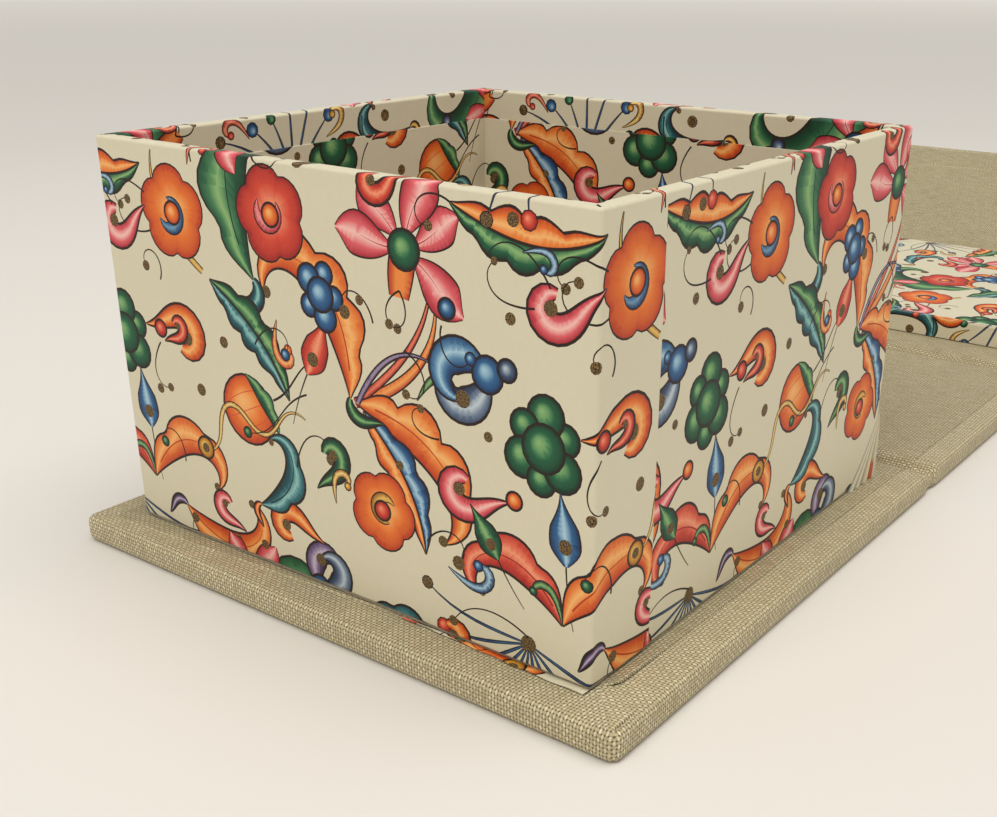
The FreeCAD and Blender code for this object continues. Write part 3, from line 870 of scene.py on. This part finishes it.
# rows: across the lip from the wall outwards; out, rise and tilt belong to them
lip = dict(
    start=14.0, end=49.6, cuts=12, wide=1.15, thick=0.12, swell=0.12, shift=(-20.0, -8.5),
    rows=(0, 0.7, 1.3, 1.7, 2.0), out=(-0.4, 0.5, 0.93, 1.0, 0.97), rise=(0.3, 0.75, 0.95, 0.6, 0.0),
    tilt=(1.4, 1.4, 1.2, 0.2, -0.3))
pleats = dict(
    across=12.5, high=15.5, folds=4, deep=0.8, proud=0.6, bow=0.9, flat=0.12, columns=41, rows=12,
    bare=(0.80, 0.79, 0.735), stroke=(0.74, 0.36, 0.24))


def footLip(tile, material):  # the edge of the turn-in shows under the front wall near the seam's corner
    low, high = box("tray_cover_paper")
    rows = lip["rows"]
    soup = printed(tile, (lip["start"], 0.0), (lip["end"], rows[-1]), lip["shift"])
    for at in np.linspace(lip["start"], lip["end"], lip["cuts"])[1:-1]:
        soup = np.concatenate(parted(soup, (1, 0), at))
    for at in rows[1:-1]:
        soup = np.concatenate(parted(soup, (0, 1), at))

    def place(flat):
        share = smooth((flat[:, 0] - lip["start"]) / (lip["end"] - lip["start"]) * 1.1)
        reach = lip["wide"] * (0.15 + 0.85 * share) + lip["swell"] * np.sin(flat[:, 0] * 0.9)
        out, rise, tilt = (np.interp(flat[:, 1], rows, lip[key]) for key in ("out", "rise", "tilt"))
        height = low[2] + (lip["thick"] + lip["swell"] * share) * rise
        points = np.column_stack([low[0] - reach * out, -flat[:, 0], height])
        return points, np.column_stack([-np.cos(tilt), np.zeros(len(flat)), np.sin(tilt)])
    sheetMesh("tray_foot_lip", soup, place, "base", "tray_cover_paper", material)


def cornerPleats(material):  # the paper's spare width, gathered where the foot turns the far corner
    low, high = box("tray_cover_paper")
    n, m, folds = pleats["columns"], pleats["rows"], pleats["folds"]
    points, colours = np.empty((n, m, 3)), np.empty((n, m, 3))
    top = np.array([high[0] + 0.02, -high[0] - 0.02, low[2] + pleats["high"]])
    for i, share in enumerate(np.linspace(0, 1, n)):
        ridge = abs(math.sin(math.pi * folds * share ** 0.8))
        for j, fall in enumerate(np.linspace(0, 1, m)):
            bow = pleats["bow"] * math.sin(math.pi * fall) * (1 - share) ** 2
            foot = high[0] + pleats["proud"] - pleats["across"] * (1 - share) * fall ** 1.15 + bow
            x = min(foot, high[0] + pleats["proud"] * fall)
            raised = pleats["flat"] + pleats["deep"] * ridge * (0.5 + 0.5 * share)
            stand = fall * raised if i else -0.1 * fall
            points[i, j] = (x, top[1] - stand, top[2] - (pleats["high"] - 0.1) * fall)
            shadow = 1 - 0.55 * (1 - ridge ** 0.5) * fall ** 0.3
            colours[i, j] = np.array(cream) * shadow - np.array([0.0, 0.02, 0.05]) * share
            if share > 0.82:
                colours[i, j] = pleats["bare"]
            if 0.66 < share < 0.8 and fall > 0.78:
                colours[i, j] = pleats["stroke"]
    faces = gridMesh(points, points[..., :2])[0][:, [0, 3, 2, 1]]
    mesh = bpy.data.meshes.new("tray_corner_pleats")
    mesh.from_pydata((points.reshape(-1, 3) * mm).tolist(), [], faces.tolist())
    shade = np.ones((faces.size, 4))
    shade[:, :3] = linear(colours.reshape(-1, 3)[faces.ravel()])
    mesh.color_attributes.new("print", "FLOAT_COLOR", "CORNER").data.foreach_set("color", shade.ravel())
    mesh.attributes.new("gold", "FLOAT", "CORNER").data.foreach_set("value", np.zeros(faces.size))
    spread = np.meshgrid(np.linspace(0.02, 0.98, n), np.linspace(0.02, 0.98, m), indexing="ij")
    place = np.stack(spread, -1).reshape(-1, 2)[faces.ravel()]
    mesh.uv_layers.new(name="OFBake").uv.foreach_set("vector", place.ravel().astype(np.float32))
    mesh.shade_smooth()
    mesh.materials.append(material)
    placed("tray_corner_pleats", mesh, "base", "tray_cover_paper")


def lying(height, centre=(0.0, 0.0)):  # puts flat points level at a height
    def place(flat):
        points = np.column_stack([flat + centre, np.full(len(flat), height)])
        return points, np.tile([0.0, 0, 1], (len(flat), 1))
    return place


def trayLining(tile, material):
    low, high = box("tray_wall_lining")
    half, bottom, top = high[0] - tray["paper"], low[2], high[2]
    height = top - bottom
    profile = np.array([(0.0, half), (height - 0.08, half), (height, half), (height + tray["paper"], half)])
    for number, (name, (out, right)) in enumerate(walls.items()):
        def place(flat, out=out, right=right):
            rise = np.minimum(flat[:, 1], height)
            back = np.maximum(flat[:, 1] - height, 0)
            tilt = np.clip((flat[:, 1] - height + 0.08) / 0.08, 0, 1) * math.pi / 2
            points = -flat[:, :1] * np.array(right) + (half + back)[:, None] * np.array(out)
            normal = -np.cos(tilt)[:, None] * np.array(out)
            return np.column_stack([points, bottom + rise]), np.column_stack([normal, np.sin(tilt)])
        shift = (tray["liningShift"][0] + number * 2 * half, tray["liningShift"][1])
        folded("tray_lining_" + name, tile, shift, np.array([-half, half]), profile, place, "base",
               "tray_wall_lining", material)
    low, high = box("tray_floor_lining")
    soup = printed(tile, low[:2], high[:2], tray["floorShift"])
    sheetMesh("tray_floor_lining_paper", soup, lying(high[2]), "base", "tray_floor_lining", material)


# The panel on the lid: the paper goes over its edges
panel = dict(round=0.8, shift=(7.0, 15.0))


def panelPaper(tile, material):
    low, high = box("lid_panel_paper")
    centre, half, r = (low[:2] + high[:2]) / 2, (high[:2] - low[:2]) / 2, panel["round"]
    side = high[2] - low[2] - r
    soup = printed(tile, -half + r, half - r, panel["shift"])
    sheetMesh("lid_panel_paper_top", soup, lying(high[2], centre), "lid", "lid_panel_paper", material)
    for name, (out, right) in walls.items():
        out, right = np.array(out), np.array(right)
        deep, wide = abs(half @ out), abs(half @ right)
        # v grows upwards and ends at the top face
        rows = [(0.0, 0.0, 0.0, 0.0)]
        for turn in arcPoints(4):
            rows.append((side + r * turn, r - r * math.cos(turn), side + r * math.sin(turn), turn))
        rows = np.array(rows)

        def place(flat):
            d, z, tilt = (np.interp(flat[:, 1], rows[:, 0], rows[:, k]) for k in (1, 2, 3))
            s = np.clip(flat[:, 0], d - wide, wide - d)
            points = s[:, None] * right + (deep - d)[:, None] * out + centre
            normal = np.cos(tilt)[:, None] * out
            return np.column_stack([points, low[2] + z]), np.column_stack([normal, np.sin(tilt)])
        folded("lid_panel_paper_" + name, tile, panel["shift"], np.array([-wide, wide]),
               np.column_stack([rows[:, 0], wide - rows[:, 1]]), place, "lid", "lid_panel_paper", material)


# The case: cloth round four boards, and the lining inside, in millimetres
case = dict(
    turnIn=15.0, roll=1.25, corner=2.0, rollSteps=6, under=3.0, sag=0.28, sagReach=1.6,
    jointFloor=3.0, jointWaist=0.6, foreMargin=3.0, sideMargin=5.0,
    lining=0.2, lapStep=0.22, stepWidth=1.6, edge=0.12, edgeDrop=0.24,
    liningRound=2.5, liningLift=0.34, liftReach=20.0, liningPull=7.0, liningSlip=1.8)
# The fold line at one turn-in's end near the front corner
crease = dict(reach=8.0, fade=3.0, deep=0.4, wide=0.09, pad=0.16, padReach=5.2)
lift = math.radians(20.5)  # the flap's rise as photographed


def gridMesh(rows, flat):  # faces, points and flat places in millimetres, from rows of points
    rows, flat = np.asarray(rows, float), np.asarray(flat, float)
    n, m = rows.shape[:2]
    index = np.arange(n * m).reshape(n, m)
    faces = np.stack([index[:-1, :-1], index[1:, :-1], index[1:, 1:], index[:-1, 1:]], -1).reshape(-1, 4)
    return faces, rows.reshape(-1, 3), flat.reshape(-1, 2)


def sheetOf(name, parts, material, body, *nodes):  # several grids as one mesh
    faces, points, flat, start = [], [], [], 0
    for part in parts:
        faces.append(part[0] + start)
        points.append(part[1])
        flat.append(part[2])
        start += len(part[1])
    faces, points, flat = np.concatenate(faces), np.concatenate(points), np.concatenate(flat)
    keys = np.round(points / merge).astype(int)
    spots, first, index = np.unique(keys, axis=0, return_index=True, return_inverse=True)
    merged = index.ravel()[faces]
    loops = [list(dict.fromkeys(face)) for face in merged.tolist()]
    good = [k for k, loop in enumerate(loops) if len(loop) > 2]
    mesh = bpy.data.meshes.new(name)
    mesh.from_pydata((points[first] * mm).tolist(), [], [loops[k] for k in good])
    layer = mesh.uv_layers.new(name="weave")
    corners = []
    for k in good:
        seen = {}
        for corner, spot in zip(faces[k].tolist(), merged[k].tolist()):
            seen.setdefault(spot, flat[corner])
        corners.extend(seen[spot] for spot in loops[k])
    layer.uv.foreach_set("vector", np.array(corners, np.float32).ravel())
    mesh.shade_smooth()
    mesh.materials.append(material)
    obj = placed(name, mesh, body, *nodes)
    return obj


def spaced(start, end, step):
    return np.linspace(start, end, max(2, int(abs(end - start) / step) + 2))


def sideFlap(out, right, deep, ends, rows, centre):
    # The cloth's way up one side of a board and in over it. ends: (True for a mitre, half length) each
    out, right = np.array(out), np.array(right)
    corner, points, flat = case["corner"], [], []
    for v, d, z in rows:
        a, b = [], []
        for sign, (mitred, wide) in zip((-1, 1), ends):
            straight, radius = (wide - max(d, corner), max(corner - d, 0)) if mitred else (wide, 0.0)
            turns = np.linspace(0, math.pi / 4, 4) * (1 if mitred else 0)
            a.append(sign * (straight + radius * np.sin(turns)))
            b.append(deep - max(d, corner) * mitred - d * (not mitred) + radius * np.cos(turns))
        close = np.array([0.4, 0.9, 1.6, 2.6, 3.8, 5.2, 7.0, 9.5])
        middle = np.linspace(a[0][0] + 9.5, a[1][0] - 9.5, 20)[1:-1]
        inner = np.concatenate([a[0][0] + close, middle, a[1][0] - close[::-1]])
        across = np.concatenate([a[0][::-1], inner, a[1]])
        away = np.concatenate([b[0][::-1], np.full(len(inner), deep - d), b[1]])
        plan = across[:, None] * right + away[:, None] * out + centre
        points.append(np.column_stack([plan, np.full(len(plan), z)]))
        flat.append(np.column_stack([across, np.full(len(across), v)]))
    return gridMesh(points, flat)


def wrapRows(thick):  # v, inward distance, height, from below the board to the end of the turn-in
    r, under = case["roll"], case["under"]
    rows = [(-under, under, 0.0)]
    for turn in arcPoints(case["rollSteps"]):
        rows.append((-r + r * turn, r - r * math.sin(turn), r - r * math.cos(turn)))
    v = r * (math.pi / 2 - 1) + thick - 2 * r
    for turn in arcPoints(case["rollSteps"]):
        rows.append((v + r * turn, r - r * math.cos(turn), thick - r + r * math.sin(turn)))
    v += r * math.pi / 2
    for d in (r + 0.07, r + 0.15, r + 0.3, 2.0, 3.0, 5.0, 9.0, case["turnIn"]):
        rows.append((v + d - r, d, thick))
    return rows


def underside(x0, x1, y0, y1):  # the cloth below a board, on the floor
    xy = np.stack(np.meshgrid(spaced(x0, x1, 6), spaced(y0, y1, 6), indexing="ij"), -1)
    return gridMesh(np.concatenate([xy, np.zeros((*xy.shape[:2], 1))], -1), xy)


def sagged(points, x0, x1, mitres, thick):  # the surface rounds down towards a joint
    points = points.copy()
    for end, away, mitred in ((x0, 1, mitres[0]), (x1, -1, mitres[1])):
        if not mitred:
            near = smooth(1 - (points[:, 0] - end) * away / case["sagReach"])
            points[:, 2] -= case["sag"] * near * np.clip(points[:, 2] / thick, 0, 1) ** 3
    return points


def creased(points, x0, half, thick):  # one turn-in's folded end, on the other near the front corner
    points = points.copy()
    x, y = points[:, 0] - x0, points[:, 1] + half
    along = smooth((crease["reach"] - x) / crease["fade"]) * smooth((x - 0.5) / 0.6)
    along = along * (points[:, 2] > thick - crease["deep"])
    line = case["roll"] + 0.07
    points[:, 2] -= crease["deep"] * np.exp(-((y - line) / crease["wide"]) ** 2) * along
    points[:, 2] += crease["pad"] * smooth((y - line) / 0.15) * smooth((crease["padReach"] - y) / 2.5) * along
    return points


def leafCloth(name, x0, x1, half, thick, mitres, material, body, node, turn=None):
    # mitres: whether the cloth is turned in at the ends x0 and x1
    centre, length = np.array([(x0 + x1) / 2, 0.0]), (x1 - x0) / 2
    rows, under = wrapRows(thick), case["under"]
    parts = [underside(x0 + under * mitres[0], x1 - under * mitres[1], -half + under, half - under)]
    ends = {"right": (mitres[0], mitres[1]), "left": (mitres[1], mitres[0])}
    for side, (first, last) in ends.items():
        parts.append(sideFlap(*walls[side], half, ((first, length), (last, length)), rows, centre))
    for side, mitred in (("front", mitres[0]), ("back", mitres[1])):
        if mitred:
            parts.append(sideFlap(*walls[side], length, ((True, half), (True, half)), rows, centre))
    parts = [(faces, sagged(points, x0, x1, mitres, thick), flat) for faces, points, flat in parts]
    if body == "base":
        parts = [(faces, creased(points, x0, half, thick), flat) for faces, points, flat in parts]
    if turn:
        parts = [(faces, turn(points), flat) for faces, points, flat in parts]
    obj = sheetOf(name, parts, material, body, node)
    width = 2 * (half + thick + case["turnIn"])
    (x1 - x0 + sum(mitres) * (thick + case["turnIn"])) * mm
    width * mm
    return obj


def grooveLine(x0, x1, top, floor):  # from one board's upper edge down to the joint and up again
    start, middle = top - case["sag"], (x1 - x0) / 2
    shares = ((0.0, 0.0), (0.12, 0.09), (0.26, 0.25), (0.40, 0.47),
              (0.54, 0.69), (0.68, 0.86), (0.84, 0.97), (1.0, 1.0))
    down = [(x0 + across * middle, start - fall * (start - floor)) for across, fall in shares]
    return down + [(x0 + x1 - x, z) for x, z in down[-2::-1]]


def jointCloth(name, x0, x1, half, thick, material, turn=None):
    stations, turns = grooveLine(x0, x1, thick, case["jointFloor"]), arcPoints(case["rollSteps"])
    points, flat, v = [], [], 0.0
    for k, (x, top) in enumerate(stations):
        if k:
            v += math.hypot(x - stations[k - 1][0], top - stations[k - 1][1])
        r = min(case["roll"], top / 2 - 0.01)
        edge = -half + case["jointWaist"] * (thick - case["sag"] - top) / (thick - case["jointFloor"])
        line = [(-half + d, top) for d in (case["turnIn"], 9.0, 5.0, 2.0)]
        line += [(edge + r - r * math.sin(t), top - r + r * math.cos(t)) for t in turns]
        line += [(edge + r - r * math.cos(t), r - r * math.sin(t)) for t in turns]
        line += [(y, 0.0) for y in spaced(-half + case["under"], 0, 6.0)]
        line += [(-y, z) for y, z in line[-2::-1]]
        line = np.array(line)
        length = np.concatenate([[0], np.cumsum(np.linalg.norm(np.diff(line, axis=0), axis=1))])
        points.append(np.column_stack([np.full(len(line), x), line]))
        flat.append(np.column_stack([np.full(len(line), v), length]))
    return jointPiece(name, points, flat, material, turn)


def jointPiece(name, points, flat, material, turn):
    faces, places, flat = gridMesh(points, flat)
    obj = sheetOf(name, [(faces, turn(places) if turn else places, flat)], material, None)
    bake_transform(obj)
    return obj


def acrossRows(half, wide):  # places across the lining, closer where the turn-ins below it end
    step = case["stepWidth"]
    y = np.concatenate([
        [-half, -half + case["edge"]], spaced(-half + 1, -half + wide - step / 2, 3),
        spaced(-half + wide - step / 4, -half + wide + step, 0.4), spaced(-half + wide + 2, 0, 6)])
    return np.concatenate([y, -y[-2::-1]])


def liningSheet(name, x0, x1, half, z, free, material, body, node, inset, turn=None):
    # free: whether the ends x0 and x1 are the lining's own edges; inset: from the case's edge to the lining's
    step, wide, brink = case["stepWidth"], case["turnIn"] - inset, case["edge"]
    y, xs = acrossRows(half, wide), [[x0, x1], spaced(x0 + 1, x1 - 1, 6)]
    for end, away, own in ((x0, 1, free[0]), (x1, -1, free[1])):
        if own:
            xs.append(end + away * (wide + np.arange(-step, step + 0.01, 0.4)))
            xs.append([end + away * brink])
        else:
            xs.append(end + away * np.array([0.4, 0.8, 1.2, 1.6]))
    if body == "base":
        corner = np.array([brink, 0.6, 1.2, 1.8, 2.5, 3.5])
        xs.append(x0 + corner)
        y = np.unique(np.round(np.concatenate([y, -half + corner]), 3))
    x = np.unique(np.round(np.concatenate(xs), 3))
    gridX, gridY = np.meshgrid(x, y, indexing="ij")
    depth = smooth((half - np.abs(gridY) - wide) / step)
    if free[0]:
        depth = depth * smooth((gridX - x0 - wide) / step)
    if free[1]:
        depth = depth * smooth((x1 - gridX - wide) / step)
    height = z - case["lapStep"] * depth
    rim = (np.abs(gridY) > half - 0.01) | (free[0] & (gridX < x0 + 0.01)) | (free[1] & (gridX > x1 - 0.01))
    height = np.where(rim, z - case["edgeDrop"], height)
    shape = np.stack([gridX, gridY, height], -1)
    if body == "base":
        shape = cutAskew(shape, x0, x1, half)
    faces, points, flat = gridMesh(shape, np.stack([gridX, gridY], -1))
    points = sagged(points, x0, x1, free, z)
    obj = sheetOf(name, [(faces, turn(points) if turn else points, flat)], material, body, node)
    (x1 - x0) * mm
    2 * half * mm
    return obj


def cutAskew(shape, x0, x1, half):  # the base's lining: out of square, one corner rounded and lifting
    x, y, z = (shape[..., k] for k in range(3))
    bend, low, lifted = case["liningRound"], -half, case["liningLift"]
    u, w = np.clip(bend - (x - x0), 0, None), np.clip(bend - (y - low), 0, None)
    far = np.hypot(u, w)
    scale = np.where(far > 0, np.maximum(u, w) / np.where(far > 0, far, 1), 1.0)
    x, y = np.where(u > 0, x0 + bend - u * scale, x), np.where(w > 0, low + bend - w * scale, y)
    share, near = (x1 - x) / (x1 - x0), np.clip(-y / half, 0, 1)
    away = np.hypot(x - x0, y - low)
    x = x + case["liningPull"] * share * (half - y) / (2 * half)
    y = y + case["liningSlip"] * share * near
    clear = box("tray_cover_paper")[1][0] + 0.3
    z = z + lifted * smooth(1 - away / case["liftReach"]) * smooth((-y - clear) / 1.5)
    return np.stack([x, y, z], -1)


def jointLining(name, x0, x1, half, z, material, inset, turn=None):
    stations, step = grooveLine(x0, x1, z, case["jointFloor"] + case["lining"]), case["stepWidth"]
    wide = case["turnIn"] - inset
    y, points, flat, v = acrossRows(half, wide), [], [], 0.0
    for k, (x, top) in enumerate(stations):
        if k:
            v += math.hypot(x - stations[k - 1][0], top - stations[k - 1][1])
        depth = case["lapStep"] * smooth((half - np.abs(y) - wide) / step) * (1 if top > z - 1 else 0.5)
        height = np.where(np.abs(y) > half - 0.01, top - case["edgeDrop"], top - depth)
        points.append(np.column_stack([np.full(len(y), x), y, height]))
        flat.append(np.column_stack([np.full(len(y), v + x0), y]))
    return jointPiece(name, points, flat, material, turn)


def buildCase(cloth, inner):
    lowBase, highBase = box("base_board")
    lowSpine, highSpine = box("spine_board")
    lowLid, highLid = box("lid_board")
    joints = {joint["name"]: np.array(joint["pos_m"]) / mm for joint in frame["joints"]}
    skin = lowBase[2]
    half, thick = highBase[1] + skin, highBase[2] + skin
    hinge = joints["flap_hinge"]
    case["axisHeight"], case["liningSlot"] = hinge[2], "lining_paper"
    flapStart = hinge[0] + lowSpine[0] - joints["spine_hinge"][0]
    flapEnd = flapStart + (highSpine[0] - lowSpine[0]) + skin

    def raised(share):  # turns points up round the flap's axis
        def turn(points):
            points = points.copy()
            angle = lift * (share(points[:, 0]) if callable(share) else share)
            x, z = points[:, 0] - hinge[0], points[:, 2] - hinge[2]
            points[:, 0] = hinge[0] + x * np.cos(angle) - z * np.sin(angle)
            points[:, 2] = np.maximum(hinge[2] + x * np.sin(angle) + z * np.cos(angle), 0.0)
            return points
        return turn
    leafs = dict(
        base=(lowBase[0] - skin, highBase[0], (True, False), None),
        spine=(lowSpine[0], highSpine[0], (False, False), None),
        lid=(lowLid[0], highLid[0], (False, False), None),
        flap=(flapStart, flapEnd, (False, True), raised(1.0)))
    margin, fore = case["sideMargin"], case["foreMargin"]
    for body, (x0, x1, mitres, turn) in leafs.items():
        leafCloth(body + "_cloth_cover", x0, x1, half, thick, mitres, cloth, body, body + "_cloth", turn)
        liningSheet(body + "_lining_sheet", x0 + fore * mitres[0], x1 - fore * mitres[1], half - margin,
                    thick + case["lining"], mitres, inner, body, body + "_lining", margin, turn)
    names = list(leafs)
    for first, second in zip(names, names[1:]):
        x0, x1, turn = leafs[first][1], leafs[second][0], None
        if second == "flap":
            turn = raised(lambda x, x0=x0, x1=x1: smooth((x - x0) / (x1 - x0)))
        jointCloth(f"{first}_{second}_joint_cloth", x0, x1, half, thick, cloth, turn)
        jointLining(f"{first}_{second}_joint_lining", x0, x1, half - margin, thick + case["lining"], inner,
                    margin, turn)


# Floor and light, in metres; a lamp's place, target, size, power and colour
studio = dict(
    floor=((0.79, 0.765, 0.72, 1), (0.80, 0.765, 0.71, 1)), floorReach=60.0, centre=(0.12, 0.0, 0.0),
    glowStart=0.55, glowReach=2.6, farGlow=(0.30, 0.285, 0.26, 1), backdrop=(0.70, 0.68, 0.645, 1),
    world=(1.0, 0.975, 0.93, 1), worldStrength=0.52)
lamps = dict(
    key=((-0.70, -0.05, 0.95), (0, 0, 0.03), 0.7, 4.6, (1.0, 0.975, 0.93)),
    top=((0.15, -0.35, 1.2), (0.05, 0, 0), 0.9, 6.0, (1.0, 0.98, 0.95)))


def areaLight(name, place, target, size, power, colour):
    data = bpy.data.lights.new(name, "AREA")
    data.shape, data.size, data.energy, data.color = "DISK", size, power, colour
    obj = bpy.data.objects.new(name, data)
    obj.location = place
    obj.rotation_euler = (Vector(target) - Vector(place)).to_track_quat("-Z", "Y").to_euler()
    bpy.context.scene.collection.objects.link(obj)


def setStudio():
    mesh = bpy.data.meshes.new("floor")
    reach, turns = studio["floorReach"], np.linspace(0, 2 * math.pi, 65)[:-1]
    ring = [(reach * math.cos(turn), reach * math.sin(turn), 0) for turn in turns]
    mesh.from_pydata(ring, [], [range(len(ring))])
    floor = bpy.data.objects.new("floor", mesh)
    floor.location.z = cadBounds[0][2] - 0.0001
    bpy.context.scene.collection.objects.link(floor)
    finish = Finish("floorPaper", Roughness=0.75, Emission_Strength=1.0)
    place = finish.node("TexCoord", output=3)
    soft = finish.noise(place, 3.0, 2.0)
    finish.set("Base Color", finish.blend(soft, *studio["floor"]))
    # Beyond the lamps' reach the camera sees the floor a little lighter
    away = finish.node("VectorMath", {"operation": "DISTANCE"}, {0: place, 1: studio["centre"]}, 1)
    far = ((away - studio["glowStart"]) / studio["glowReach"]).clamped() ** 0.8
    seen = finish.node("LightPath")
    finish.set("Emission Color", finish.blend(far * seen, (0, 0, 0, 1), studio["farGlow"]))
    mesh.materials.append(finish.material)
    world = bpy.data.worlds.new("studio")
    bpy.context.scene.world = world
    world.use_nodes = True
    tree = world.node_tree
    back = tree.nodes["Background"]
    back.inputs["Color"].default_value = studio["world"]
    back.inputs["Strength"].default_value = studio["worldStrength"]
    kinds = ("Background", "LightPath", "MixShader")
    behind, path, either = (tree.nodes.new("ShaderNode" + kind) for kind in kinds)
    behind.inputs["Color"].default_value = studio["backdrop"]
    tree.links.new(path.outputs["Is Camera Ray"], either.inputs[0])
    tree.links.new(back.outputs[0], either.inputs[1])
    tree.links.new(behind.outputs[0], either.inputs[2])
    tree.links.new(either.outputs[0], tree.nodes["World Output"].inputs["Surface"])
    for name, lamp in lamps.items():
        areaLight(name, *lamp)


setCamera()
setStudio()
print("camera, floor and light")
paperFinish = printedPaper("printedPaper")
clothFinish, shadedLiningFinish = (bookCloth(name, *(paint(*c) for c in four)) for name, four in cloths.items())
boardFinish = greyBoard()
tile = flatPrint(drawPrint())
print("print:", len(tile), "faces in one repeat")
trayPaper(tile, paperFinish)
footLip(tile, paperFinish)
cornerPleats(paperFinish)
trayLining(tile, paperFinish)
print("tray papers")
panelPaper(tile, paperFinish)
print("panel paper")
buildCase(clothFinish, shadedLiningFinish)
print("case")
for node in frame["nodes"].values():
    if "board" in node.name:
        for slot in node.material_slots:
            slot.material = boardFinish
print("boards")
total = sum(len(o.data.polygons) for o in bpy.data.objects if o.type == "MESH" and not o.hide_render)
print("faces in all:", total)
bpy.context.scene.view_settings.view_transform = "Standard"
